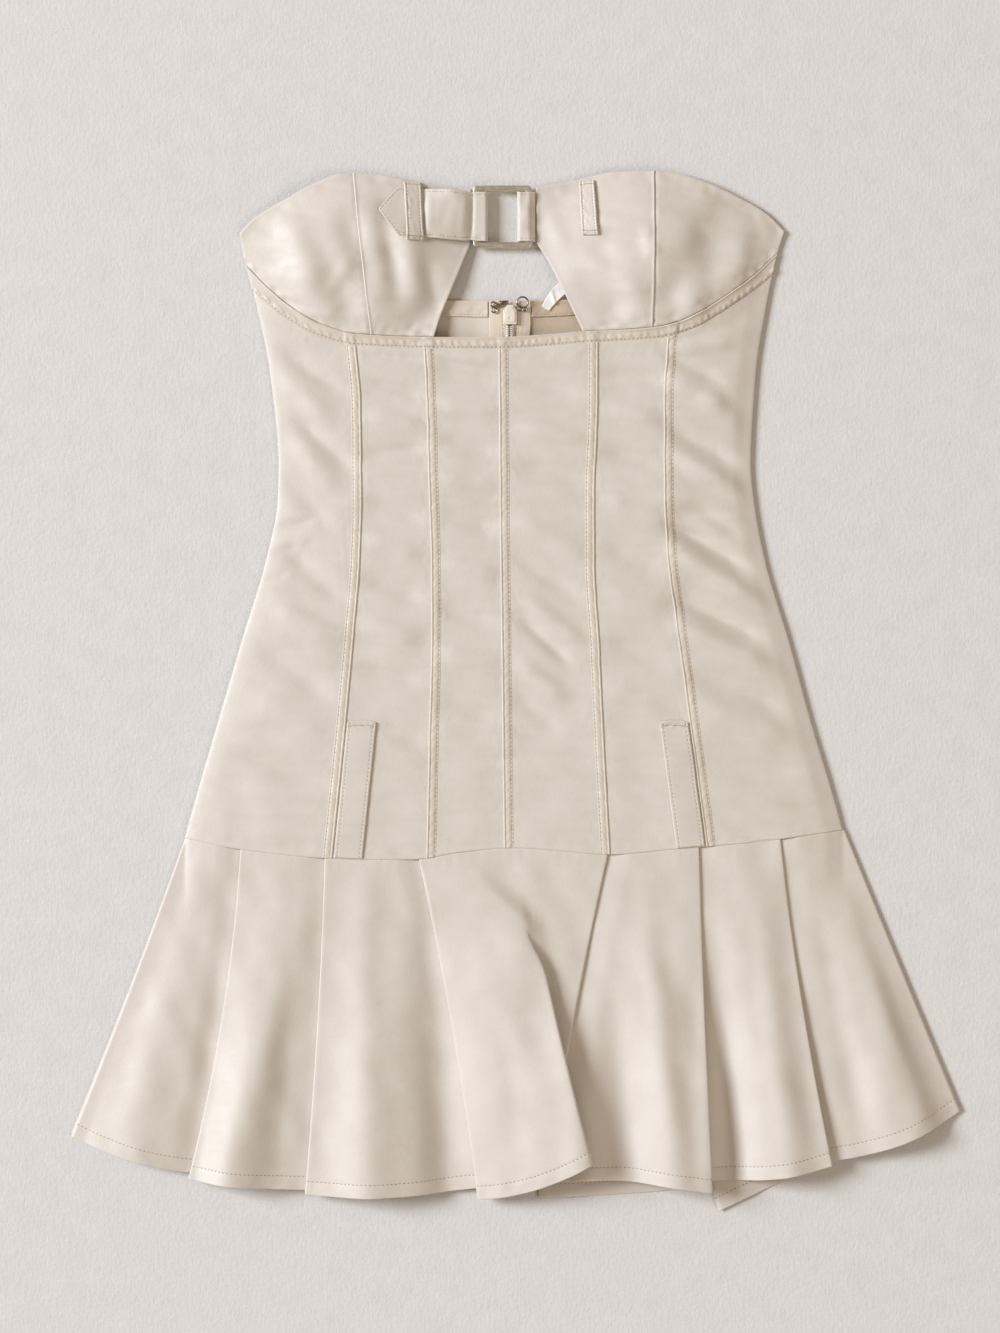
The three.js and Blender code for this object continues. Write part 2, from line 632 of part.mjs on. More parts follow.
const zipCoil = (name, side) => {
  const columns = [COIL.inner, COIL.outer].map((off) => () => ZIP_X + side * off);
  const rows = [0, 0.03, 0.06, 0.09, 0.12, 0.3, 0.6, 1];
  const grid = planGrid(columns, () => SLIDER.bottom - GAP, () => ZIP_END + 2, rows);
  return backWall(name, grid, COIL_Z, COIL_Z + COIL.wall, ivory);
};

// A three.js geometry as a manifold solid, and back.
function solidFrom(geometry) {
  const bare = geometry.clone();
  bare.deleteAttribute("normal");
  bare.deleteAttribute("uv");
  const merged = mergeVertices(bare, 1e-4);
  const triVerts = new Uint32Array(merged.index.array);
  return new wasm.Manifold(
    new wasm.Mesh({ numProp: 3, vertProperties: merged.attributes.position.array, triVerts }),
  );
}

function meshFrom(name, solid, material) {
  const { vertProperties, triVerts } = solid.getMesh();
  const geometry = new THREE.BufferGeometry();
  geometry.setAttribute("position", new THREE.BufferAttribute(vertProperties, 3));
  geometry.setIndex(new THREE.BufferAttribute(triVerts, 1));
  geometry.computeVertexNormals();
  const mesh = new THREE.Mesh(geometry, material);
  mesh.name = name;
  return mesh;
}

// The slider: a house-shaped body inside, a neck between the back's halves, a bridge for the pull outside.
const BRIDGE = { half: 2.1, inner: 1.1, below: 1.5, thick: 0.75, above: 0.8 };

function slider() {
  const s = SLIDER;
  const house = new THREE.Shape([
    new THREE.Vector2(-s.halfWidth + 0.8, s.bottom),
    new THREE.Vector2(s.halfWidth - 0.8, s.bottom),
    new THREE.Vector2(s.halfWidth, s.bottom + 0.8),
    new THREE.Vector2(s.halfWidth, s.top - s.roof),
    new THREE.Vector2(s.roofHalf, s.top),
    new THREE.Vector2(-s.roofHalf, s.top),
    new THREE.Vector2(-s.halfWidth, s.top - s.roof),
    new THREE.Vector2(-s.halfWidth, s.bottom + 0.8),
  ]);
  const body = new THREE.ExtrudeGeometry(house, { depth: s.wall, bevelEnabled: false });
  body.translate(ZIP_X, 0, BACK_LIFT + COIL_Z);
  const bodySink = 0.5; // the neck runs this far up into the body
  const neck = new THREE.Shape([
    new THREE.Vector2(-BRIDGE.half, -BRIDGE.below),
    new THREE.Vector2(BRIDGE.half, -BRIDGE.below),
    new THREE.Vector2(BRIDGE.half, BACK_LIFT + COIL_Z + bodySink - PULL.z),
    new THREE.Vector2(-BRIDGE.half, BACK_LIFT + COIL_Z + bodySink - PULL.z),
  ]);
  neck.holes.push(
    new THREE.Path([
      new THREE.Vector2(-BRIDGE.inner, -BRIDGE.below + BRIDGE.thick),
      new THREE.Vector2(-BRIDGE.inner, BRIDGE.above),
      new THREE.Vector2(BRIDGE.inner, BRIDGE.above),
      new THREE.Vector2(BRIDGE.inner, -BRIDGE.below + BRIDGE.thick),
    ]),
  );
  const plate = new THREE.ExtrudeGeometry(neck, { depth: 2 * NECK_HALF, bevelEnabled: false });
  plate.rotateX(Math.PI / 2);
  plate.rotateZ(Math.PI / 2);
  plate.translate(ZIP_X - NECK_HALF, PULL.y, PULL.z);
  return meshFrom("zip_slider", solidFrom(body).add(solidFrom(plate)), ivory);
}

// The pull tab hangs on the bridge by its top bar and points down the zip.
function zipPull() {
  const p = PULL;
  const bar = p.wall / 2;
  const window = 3.4; // clear length below the bar
  const windowHalf = 1.15;
  const tip = -p.length;
  const shoulder = -window - 2 * bar;
  const tab = new THREE.Shape();
  tab.moveTo(-2.1, bar);
  tab.lineTo(-2.1, shoulder);
  tab.absarc(0, tip + p.halfWidth, p.halfWidth, Math.PI, 2 * Math.PI);
  tab.lineTo(2.1, shoulder);
  tab.lineTo(2.1, bar);
  tab.holes.push(
    new THREE.Path([
      new THREE.Vector2(-windowHalf, -bar),
      new THREE.Vector2(-windowHalf, -bar - window),
      new THREE.Vector2(windowHalf, -bar - window),
      new THREE.Vector2(windowHalf, -bar),
    ]),
  );
  const geometry = new THREE.ExtrudeGeometry(tab, { depth: p.wall, bevelEnabled: false, curveSegments: 4 });
  const mesh = new THREE.Mesh(geometry, ivory);
  mesh.name = "zip_pull";
  mesh.position.set(ZIP_X, p.y, p.z - p.wall / 2);
  return mesh;
}

// Hook and eye above the slider, and a bare label at the back's top edge.
const WIRE = 0.6; // radius
const FITTING_Z = COIL_Z + WIRE;
const fittingHeight = (x, y) => FITTING_Z + backLift(x, y) + 0.1;

function eye() {
  const centre = { x: 4.6, y: 271.6, radius: 3.8 };
  const mesh = new THREE.Mesh(new THREE.TorusGeometry(centre.radius, WIRE, 6, 14), paleMetal);
  mesh.name = "eye";
  mesh.position.set(centre.x, centre.y, fittingHeight(ZIP_X, centre.y));
  return mesh;
}

function hook() {
  const at = { x: -14.6, y: 268.6, radius: 3.2, bill: 6.4 };
  const ring = new THREE.TorusGeometry(at.radius, WIRE, 6, 12);
  const bill = new THREE.BoxGeometry(at.bill, 2.4, 2 * WIRE);
  bill.translate(at.radius - 1, 3.4, 0);
  const solid = solidFrom(ring).add(solidFrom(bill));
  const mesh = meshFrom("hook", solid, paleMetal);
  mesh.position.set(at.x, at.y, fittingHeight(ZIP_X, at.y));
  return mesh;
}

function label() {
  const base = { x: 21.5, y: 266.5 }; // middle of the sewn end
  const size = { length: 27, half: 5.4, turn: (50 * Math.PI) / 180 };
  const grid = [1, 0, -1].map((side) =>
    [0, 0.25, 0.5, 1].map((t) => ({
      x: base.x + Math.cos(size.turn) * size.length * t - Math.sin(size.turn) * size.half * side,
      y: base.y + Math.sin(size.turn) * size.length * t + Math.cos(size.turn) * size.half * side,
    })),
  );
  return backWall("label", grid, COIL_Z, COIL_Z + STRIP, labelWhite);
}

// Flounces: rings of cloth in knife pleats, seen as sections that grow from the hip seam to the hem.
const PLY = CLOTH + GAP; // from one ply to the next in a pleat
const FLOUNCE_ROWS = [0, 0.1, 0.24, 0.4, 0.56, 0.72, 0.87, 1];
const LAP_RUN = 18; // over which a panel dips to pass under its neighbour
const HEM_ROLL = 2.6; // radius of the soft folds at the front hem

// Pleats of the front. lap -1: the fold's left edge lies on top; lap 1: its right edge does.
const FRONT_PLEATS = [
  { seam: -191.9, middle: -204.5, hem: -228.4, depth: 24, lap: -1 },
  { seam: -133.0, middle: -138.3, hem: -147.0, depth: 24, lap: -1 },
  { seam: -67.9, middle: -44.5, hem: -26.5, depth: 20, lap: -1 },
  { seam: 64.0, middle: 41.5, hem: 22.0, depth: 20, lap: 1 },
  { seam: 127.3, middle: 131.2, hem: 136.2, depth: 24, lap: 1 },
  { seam: 184.0, middle: 199.0, hem: 219.8, depth: 24, lap: 1 },
];
// The fold of the centre panel over itself: where its edge runs, where it starts and is full, how deep it is.
const FLAP = { edge: { seam: 2, middle: 25.4, hem: 52.7 }, start: 0.2, full: 0.62, depth: 50 };
const FLAP_GAP = 0.3; // under the folded cloth
const FLAP_ROLL = 2.2; // radius of its edge
const PANEL_STEPS = 7;
// Panels between the pleats: their hems, and the height and place of their ridge at the hem.
const FRONT_PANELS = [
  { hemStart: -311.2, hemMiddle: -327.0, hemEnd: -336.0, ridge: 6, crest: 0.4 },
  { hemStart: -340.6, hemMiddle: -345.4, hemEnd: -348.1, ridge: 11, crest: 0.32 },
  { hemStart: -351.0, hemMiddle: -351.8, hemEnd: -346.6, ridge: 11, crest: 0.3 },
  { hemStart: -354.3, hemMiddle: -346.4, hemEnd: -328.0, ridge: 4, crest: 0.4, flap: FLAP },
  { hemStart: -341.0, hemMiddle: -341.8, hemEnd: -348.7, ridge: 9, crest: 0.6 },
  { hemStart: -341.5, hemMiddle: -339.4, hemEnd: -330.3, ridge: 8, crest: 0.62 },
  { hemStart: -327.5, hemMiddle: -316.6, hemEnd: -293.2, ridge: 10, crest: 0.6 },
];
const BACK_PLEATS = [
  { seam: -160, middle: -178, hem: -200, depth: 22, lap: -1 },
  { seam: -98, middle: -112, hem: -130, depth: 22, lap: -1 },
  { seam: -36, middle: -38, hem: -40, depth: 22, lap: -1 },
  { seam: 36, middle: 37, hem: 38, depth: 22, lap: 1 },
  { seam: 98, middle: 126, hem: 161, depth: 19.5, lap: 1 },
  { seam: 160, middle: 190, hem: 226, depth: 22, lap: 1 },
];
const BACK_PANELS = [
  { hemStart: -309.0, hemMiddle: -324.0, hemEnd: -334.0 },
  { hemStart: -334.0, hemMiddle: -339.0, hemEnd: -341.0 },
  { hemStart: -341.0, hemMiddle: -342.5, hemEnd: -341.0 },
  { hemStart: -341.0, hemMiddle: -339.0, hemEnd: -338.0 },
  { hemStart: -354.5, hemMiddle: -350.6, hemEnd: -344.0 },
  { hemStart: -363.75, hemMiddle: -344.0, hemEnd: -326.0 },
  { hemStart: -324.0, hemMiddle: -308.0, hemEnd: -291.0 },
];
const FLOUNCE_SIDES = {
  left: { seam: -230.8, middle: -269.5, hem: -311.2 },
  right: { seam: 229.0, middle: 270.0, hem: 311.2 },
};

// The place of a fold at a share v of the way from seam to hem.
const along = (fold, v) =>
  fold.seam * (1 - v) * (1 - 2 * v) + fold.middle * 4 * v * (1 - v) + fold.hem * v * (2 * v - 1);
const bump = (t, crest) => {
  const local = t < crest ? t / crest : (1 - t) / (1 - crest);
  return smooth(clamp01(local));
};

// The panels of a flounce in order, each with what hides of it under its neighbours.
function pliesOf(pleats, panels, v) {
  const plies = [];
  panels.forEach((panel, k) => {
    const before = pleats[k - 1];
    const after = pleats[k];
    const under = { start: before && before.lap > 0, end: after && after.lap < 0 };
    const visibleStart = before ? along(before, v) : along(FLOUNCE_SIDES.left, v);
    const visibleEnd = after ? along(after, v) : along(FLOUNCE_SIDES.right, v);
    const start = under.start ? visibleStart - before.depth : visibleStart;
    const end = under.end ? visibleEnd + after.depth : visibleEnd;
    plies.push({ panel, k, start, end, visibleStart, visibleEnd, under, before, after });
  });
  return plies;
}

// The level of a pleat's top ply across the front at a row.
function frontLevel(x, v) {
  const edge = Math.min(x - along(FLOUNCE_SIDES.left, v), along(FLOUNCE_SIDES.right, v) - x);
  const sideLevel = FRONT_LIFT + CLOTH / 2;
  const spreadLevel = sideLevel + 6.3 * smooth(edge / 60);
  const y = hipSeam(x);
  return lerp(frontHeight(x, y) + CLOTH / 2, spreadLevel, smooth(v / 0.3));
}

const rollAt = (v) => lerp(PLY / 2, HEM_ROLL, smooth(v));

// The middle points of a fold between two plies, from the end of one to the start of the next.
function foldArc(x, fromZ, toZ, towards, steps) {
  const radius = Math.abs(toZ - fromZ) / 2;
  const way = Math.sign(toZ - fromZ);
  return spread(steps).map((t) => {
    const angle = Math.PI * (t - 0.5);
    return {
      x: x - towards * radius + towards * radius * Math.cos(angle),
      z: (fromZ + toZ) / 2 + way * radius * Math.sin(angle),
    };
  });
}

// The two flounces: the front rises from its level in soft ridges, the back lies flat on the surface.
const FRONT = { pleats: FRONT_PLEATS, panels: FRONT_PANELS, level: frontLevel, up: 1, roll: rollAt };
const BACK = {
  pleats: BACK_PLEATS, panels: BACK_PANELS, level: () => CLOTH / 2, up: -1, roll: () => PLY / 2,
};

// One row of a flounce: the middle points of its wall, left to right along the cloth.
function flounceSection(flounce, v) {
  const roll = flounce.roll(v);
  const points = [];
  for (const ply of pliesOf(flounce.pleats, flounce.panels, v)) {
    const panelPoints = ply.panel.flap ? flapPanel(flounce, ply, v) : plainPanel(flounce, ply, v, roll);
    points.push(...panelPoints);
    if (ply.after) points.push(...pleatTurn(flounce, ply, v, roll, points[points.length - 1]));
  }
  return points;
}

function plainPanel(flounce, ply, v, roll) {
  const width = ply.visibleEnd - ply.visibleStart;
  const onTop = { start: ply.before && !ply.under.start, end: ply.after && !ply.under.end };
  const stations = [];
  if (ply.under.start) stations.push(ply.start + PLY / 2, (ply.start + ply.visibleStart) / 2);
  const from = ply.visibleStart + (onTop.start ? roll : 0);
  const to = ply.visibleEnd - (onTop.end ? roll : 0);
  for (const t of spread(PANEL_STEPS)) stations.push(lerp(from, to, t));
  if (ply.under.end) stations.push((ply.end + ply.visibleEnd) / 2, ply.end - PLY / 2);
  const soft = 2 * roll - PLY; // of a soft fold above the plain level
  const height = (x) => {
    const fromStart = x - ply.visibleStart;
    const fromEnd = ply.visibleEnd - x;
    const swell = bump(fromStart / width, ply.panel.crest) * smooth(v);
    const ridge = ply.panel.ridge ? ply.panel.ridge * swell : 0;
    let dip = 0;
    if (ply.under.start) dip += 2 * PLY * smooth(1 - fromStart / LAP_RUN);
    if (ply.under.end) dip += 2 * PLY * smooth(1 - fromEnd / LAP_RUN);
    if (onTop.start) dip -= soft * (1 - smooth(fromStart / (0.4 * width)));
    if (onTop.end) dip -= soft * (1 - smooth(fromEnd / (0.4 * width)));
    return flounce.level(x, v) + ridge - flounce.up * dip;
  };
  const hemFrom = flounce.up < 0 ? ply.start : ply.visibleStart;
  return stations.map((x) => ({ x, z: height(x), hem: hemAt(ply.panel, x, hemFrom, ply.visibleEnd) }));
}

// The centre panel of the front: flat at the seam, and folded over itself to the right lower down.
function flapPanel(flounce, ply, v) {
  const roll = flounce.roll(v);
  const { flap } = ply.panel;
  const from = ply.visibleStart + roll;
  const to = ply.visibleEnd - roll;
  const edge = along(flap.edge, v);
  const back = edge - flap.depth * smooth((v - flap.start) / (1 - flap.start));
  const level = (x) => flounce.level(x, v);
  const soft = 2 * roll - PLY;
  const underZ = level(back) + PLY + FLAP_GAP;
  const topZ = underZ + PLY / 2 + 2 * FLAP_ROLL;
  const over = spread(PANEL_STEPS).map((t) => {
    const x = lerp(from, edge - FLAP_ROLL, t);
    const z = lerp(level(from) + soft, topZ, smooth(t)) + ply.panel.ridge * bump(t, ply.panel.crest);
    return { x, z };
  });
  const edgeTurn = foldArc(edge, topZ, topZ - 2 * FLAP_ROLL, 1, 4).slice(1);
  const innerTurn = foldArc(back, underZ, underZ - PLY - FLAP_GAP, -1, 3);
  const below = [0.5, 1].map((t) => {
    const x = lerp(back + PLY / 2, to, t);
    return { x, z: lerp(level(x), level(to) + soft, t) };
  });
  const folded = [...over, ...edgeTurn, ...innerTurn, ...below];
  const lengths = [0];
  folded.slice(1).forEach((p, k) => {
    lengths.push(lengths[k] + Math.hypot(p.x - folded[k].x, p.z - folded[k].z));
  });
  const total = lengths[lengths.length - 1];
  const fold = smooth((v - flap.start) / (flap.full - flap.start));
  return folded.map((p, k) => {
    const t = lengths[k] / total;
    const flatX = lerp(from, to, t);
    const flat = { x: flatX, z: level(flatX) + soft };
    const hem = hemAt(ply.panel, p.x, ply.visibleStart, edge);
    return { x: lerp(flat.x, p.x, fold), z: lerp(flat.z, p.z, fold), hem };
  });
}

// The hem of a panel at a place across it, on a curve from one side of the panel to the other.
function hemAt(panel, x, from, to) {
  const t = clamp01((x - from) / (to - from));
  const { hemStart, hemMiddle, hemEnd } = panel;
  return hemStart * (1 - t) * (1 - 2 * t) + hemMiddle * 4 * t * (1 - t) + hemEnd * t * (2 * t - 1);
}

// The turned ply of a pleat after a panel, with the folds at both of its ends.
function pleatTurn(flounce, ply, v, roll, last) {
  const { after } = ply;
  const { up } = flounce;
  const visible = along(after, v);
  const hidden = visible - after.lap * after.depth;
  const turned = (x) => flounce.level(x, v) - up * PLY;
  const middle = { x: (hidden + visible) / 2, z: turned((hidden + visible) / 2) };
  const points = [];
  if (after.lap < 0) {
    const start = turned(visible + roll);
    points.push(...foldArc(hidden, last.z, last.z + up * PLY, 1, 3).slice(1), middle);
    points.push(...foldArc(visible, start, start + up * 2 * roll, -1, 4).slice(0, -1));
  } else {
    const inner = flounce.level(hidden + PLY / 2, v) - up * 2 * PLY;
    points.push(...foldArc(visible, last.z, turned(visible - roll), 1, 4).slice(1), middle);
    points.push(...foldArc(hidden, inner + up * PLY, inner, -1, 3).slice(0, -1));
  }
  const next = flounce.panels[ply.k + 1];
  return points.map((p, k) => {
    const share = (k + 1) / (points.length + 1);
    return { ...p, hem: lerp(ply.panel.hemEnd, next.hemStart, share) };
  });
}

// The wall of a flounce from its rows of middle points.
function flounceWall(name, flounce, edge, material) {
  const sections = FLOUNCE_ROWS.map((v) => flounceSection(flounce, v));
  const seamY = sections[0].map((p) => edge(p.x) - SEAM_SIDE);
  const layer = (off) =>
    sections.map((section, i) =>
      section.map((p, j) => {
        const before = section[Math.max(0, j - 1)];
        const after = section[Math.min(section.length - 1, j + 1)];
        const dir = new THREE.Vector2(after.x - before.x, after.z - before.z).normalize();
        const y = lerp(seamY[j], p.hem, FLOUNCE_ROWS[i]);
        return new THREE.Vector3(p.x - dir.y * off, y, p.z + dir.x * off);
      }),
    );
  return wall(name, layer(-CLOTH / 2), layer(CLOTH / 2), material);
}

const dress = new THREE.Group();
dress.name = "strapless_dress";
dress.add(
  ...bustCups(),
  beltEnd(),
  strapRight(),
  buckle(),
  beltLoop("belt_loop_left", LEFT_LOOP, OVER_BELT),
  beltLoop("belt_loop_right", RIGHT_LOOP, EMPTY_LOOP),
  underbustBand(),
  ...bodicePanels(),
  ...boningChannels(),
  pocketWelt("pocket_welt_left", bones[0], 1),
  pocketWelt("pocket_welt_right", bones[4], -1),
  flounceWall("front_flounce", FRONT, hipSeam, cream),
  flounceWall("back_flounce", BACK, hipSeam, cream),
  backHalf("back_left", -1, leftSide),
  backHalf("back_right", 1, rightSide),
  backFacing("back_facing_left", -1, leftSide),
  backFacing("back_facing_right", 1, rightSide),
  zipTape("zip_tape_left", -1),
  zipTape("zip_tape_right", 1),
  zipCoil("zip_coil_left", -1),
  zipCoil("zip_coil_right", 1),
  slider(),
  zipPull(),
  hook(),
  eye(),
  label(),
);

export default dress;
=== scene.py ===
"""A strapless dress in cream sateen, laid face up. Tables are in millimetres, meshes in metres."""

import math

import bpy
import numpy as np
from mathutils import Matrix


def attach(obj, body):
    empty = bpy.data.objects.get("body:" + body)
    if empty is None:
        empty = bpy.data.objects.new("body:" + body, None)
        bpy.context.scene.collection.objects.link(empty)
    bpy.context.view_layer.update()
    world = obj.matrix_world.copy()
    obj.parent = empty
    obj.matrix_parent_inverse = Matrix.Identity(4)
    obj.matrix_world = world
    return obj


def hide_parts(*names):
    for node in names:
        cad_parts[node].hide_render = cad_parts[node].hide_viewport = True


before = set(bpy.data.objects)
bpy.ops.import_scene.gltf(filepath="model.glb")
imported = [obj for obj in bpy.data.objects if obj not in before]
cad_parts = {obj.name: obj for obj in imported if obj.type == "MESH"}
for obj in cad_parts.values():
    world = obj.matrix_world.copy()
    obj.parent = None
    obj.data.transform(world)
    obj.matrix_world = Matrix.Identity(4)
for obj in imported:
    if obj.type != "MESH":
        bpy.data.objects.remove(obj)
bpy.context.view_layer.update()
scene = bpy.context.scene

MM = 0.001
CLOTH = 1.2
GAP = 0.3
ON_CLOTH = CLOTH + GAP
STRIP = 1.0
FRONT_LIFT = 1.5
SEAM_SIDE = GAP / 2
PX = 0.70  # millimetres of the dress to a pixel of the photograph
PX_X, PX_Y = 516.0, 691.4  # the pixel at x = 0, y = 0


# Outlines, in rows of a place and what is there: (y, left, right) for the sides and the cups' seams, y and
# the x of each of the five bones, (x, y) for the edges that run across, and (y, x) for the keyhole's.
SIDES = [
    (321, -193.2, 187.4), (306, -190.5, 182.6), (274, -181.7, 175.4), (222, -171.2, 167.2),
    (158, -165.3, 163.7), (134, -165.9, 165.9), (92, -174, 173.6), (36, -190.8, 190.2),
    (-26, -209, 207.2), (-64, -220.2, 218.8), (-102, -230.8, 229.4),
]
BONES = [
    (248, -115.8, -61.4, -8.8, 53.8, 109), (200, -111.6, -59, -8.4, 53.6, 106.4),
    (134, -111, -57.2, -7.9, 51.4, 106.6), (92, -112.2, -55.9, -7.5, 51.4, 109.1),
    (36, -116.8, -55.7, -6.8, 54.6, 116.5), (-26, -122.4, -57.2, -6.1, 57.5, 125),
    (-112, -131.1, -59, -5, 62.1, 136.5),
]
BUST_SEAM = [
    (-187.1, 296.4), (-173.6, 282.4), (-153.7, 266.3), (-133.7, 255.5), (-112, 249.5), (-57.4, 247.2),
    (-14.7, 247), (46.5, 250.9), (96.3, 254.1), (114.8, 258.6), (132, 267), (146.3, 276.3),
    (167.7, 292.2), (182, 305.5),
]
BAND_WIDTH, BAND_INSET = 8, 2
PANEL_LENGTH, BAND_LENGTH, CUP_LENGTH, SKIRT_LENGTH = 355, 380, 100, 232  # for the steps between their points
HEM = 9.5
LEFT_TOP = [
    (-193.2, 320.2), (-184.5, 329.3), (-160.3, 344), (-137.6, 355.9), (-126.7, 360.1), (-114.8, 361.5),
    (-97.3, 360.8), (-78.4, 357.3), (-46.2, 353.1), (-28, 351),
]
RIGHT_TOP = [
    (13.3, 352), (43.4, 357.7), (69.3, 362.7), (96.3, 363.4), (110.6, 362), (132, 355.5),
    (153.3, 346.3), (174.8, 334.2), (187.6, 322),
]
CUP_SEAMS = [(362, -114.4, 97), (300, -107.8, 96.6), (249, -101.6, 95.5)]
KEYHOLE_LEFT = [
    (247.3, -57.2), (261, -52.8), (277.7, -46.2), (302, -36.4), (313.9, -32.2), (352, -31),
]
KEYHOLE_RIGHT = [(250.9, 46.6), (276.1, 34.7), (302, 21.6), (309, 17.2), (314, 14.2), (352, 13.7)]
HIP_SEAM = [
    (-230.8, -102.1), (-192.1, -109.6), (-135.1, -115.5), (-107.8, -116.6), (-72.8, -116.6), (-38.5, -111.5),
    (-0.8, -108.5), (36.4, -111), (63.7, -113.1), (111.2, -109.3), (164.5, -104.7), (207.6, -99.1),
    (229.4, -96),
]
BACK_TOP = [
    (-193.2, 319.5), (-150, 301), (-100, 283), (-50, 273.8), (-4.3, 272.6), (35, 274),
    (90, 281.5), (140, 297), (187.4, 319.5),
]
# y, and how high the middle of the front stands there
LOFT = [(350, 1.5), (314, 1.5), (247, 6.5), (134, 6), (0, 6.8), (-105, 7.5)]
CUP_DOMES = [(-115, 308, 84, 64, 15), (100, 308, 86, 64, 15)]  # x, y, half width, half height, rise

# The largest folds, in millimetres: from x, y, to x, y, width, rise.
MAIN_FOLDS = [
    (-151, 325, -118, 272, 13, -3.6), (-162, 290, -130, 266, 9, 2.2), (-84, 306, -66, 268, 11, -2.6),
    (60, 306, 72, 272, 11, -2.6), (136, 328, 112, 276, 13, -3.6), (158, 296, 124, 272, 9, 2.2),
    (-160, 178, -132, 138, 10, -1.4), (118, 120, 152, 84, 10, -1.6), (122, 66, 158, 38, 10, -1.6),
]

# Smaller creases of the front, placed in the photograph's pixels: from x, y, to x, y, then the width
# and the rise in millimetres.
CREASES = [
    # right side panel, where they fan out from the last channel
    (662, 354, 724, 384, 5, -1), (666, 380, 730, 410, 6, 1.1), (672, 350, 736, 343, 5, 0.7),
    (662, 424, 750, 472, 6, -1.5), (666, 450, 752, 498, 6, 1.5), (700, 398, 744, 426, 8, 0.9),
    (664, 524, 762, 576, 6, -1.6), (668, 550, 768, 604, 6, 1.6), (690, 500, 744, 540, 6, -0.7),
    (668, 596, 770, 642, 6, -1.5), (672, 622, 778, 670, 6.5, 1.5), (686, 674, 792, 712, 7, -1),
    (688, 700, 798, 740, 8, 1), (690, 752, 804, 784, 10, -0.8),
    # left side panel
    (272, 346, 348, 396, 6.5, -1.2), (276, 374, 334, 422, 7, 1), (290, 414, 356, 472, 6.5, -1.2),
    (288, 438, 340, 494, 8, 1.2), (272, 468, 334, 530, 7, -0.9), (268, 527, 314, 522, 2.6, -1),
    (268, 540, 310, 541, 3, 0.8), (264, 553, 298, 547, 2.4, -0.8), (260, 579, 288, 575, 2.6, -0.7),
    (280, 545, 344, 600, 8, -1), (266, 598, 340, 652, 9, 0.9), (248, 638, 334, 700, 9, -0.9),
    (242, 700, 334, 732, 11, 0.8), (236, 750, 330, 790, 12, -0.8),
    # left pocket panel, between the first and second channels
    (364, 356, 426, 362, 2.4, -0.6), (362, 392, 400, 402, 2.6, -0.4), (436, 360, 502, 372, 2.4, -0.6),
    (368, 382, 424, 396, 5, -0.72), (366, 417, 425, 426, 5, 0.72), (364, 455, 426, 449, 5, -0.72),
    (366, 500, 424, 520, 6, -0.72), (364, 540, 420, 556, 6, 0.72), (366, 580, 424, 598, 7, -0.87),
    (362, 622, 420, 640, 7, 0.72), (360, 668, 424, 682, 8, -0.72), (382, 720, 424, 744, 8, -0.58),
    # centre left panel
    (438, 372, 496, 384, 5, -0.65), (438, 404, 496, 417, 5, 0.72), (440, 440, 498, 452, 6, -0.72),
    (438, 478, 498, 486, 5, 0.65), (440, 512, 498, 531, 6, -0.72), (440, 560, 498, 576, 7, 0.72),
    (440, 604, 496, 622, 7, -0.72), (438, 652, 498, 668, 8, 0.65), (438, 706, 496, 716, 8, -0.58),
    # centre right panel, where they run down to the right
    (512, 380, 588, 396, 6, -0.72), (514, 428, 590, 440, 6, 0.72), (514, 466, 590, 482, 6, -0.72),
    (514, 520, 590, 556, 7, 0.87), (514, 560, 588, 602, 6, -0.87), (518, 617, 573, 666, 5, -1.2),
    (524, 600, 584, 642, 6, 1), (516, 660, 566, 700, 6, 0.87), (514, 694, 560, 732, 7, -0.72),
    # right pocket panel
    (602, 372, 662, 384, 6, -0.65), (604, 410, 660, 420, 6, 0.65), (602, 452, 662, 470, 6, -0.72),
    (604, 500, 664, 522, 6, 0.72), (604, 548, 664, 572, 7, -0.87), (604, 592, 668, 616, 7, 0.72),
    (604, 640, 672, 662, 8, -0.72), (606, 690, 660, 706, 8, 0.58),
    # left cup
    (288, 212, 322, 296, 13, 2), (346, 214, 374, 290, 11, -2.2), (246, 262, 306, 322, 6, -0.6),
    (328, 298, 352, 262, 5, 0.5), (383, 196, 398, 306, 8, -1.5), (406, 232, 418, 316, 9, 1.3),
    (426, 262, 440, 320, 7, -0.9), (392, 218, 396, 252, 7, 0.4), (310, 322, 354, 332, 4, -0.4),
    # right cup
    (646, 250, 600, 234, 6, -0.8), (586, 256, 646, 304, 8, 1.2), (576, 282, 622, 318, 8, -0.8),
    (686, 220, 692, 310, 11, 0.8), (716, 226, 706, 312, 11, -1.1), (745, 228, 736, 296, 9, 0.7),
    (700, 192, 716, 244, 9, 0.5), (672, 298, 704, 318, 7, 0.6), (764, 222, 772, 246, 5, 0.5),
    (645, 226, 653, 266, 5, 0.5), (546, 206, 566, 254, 6, 0.5),
]

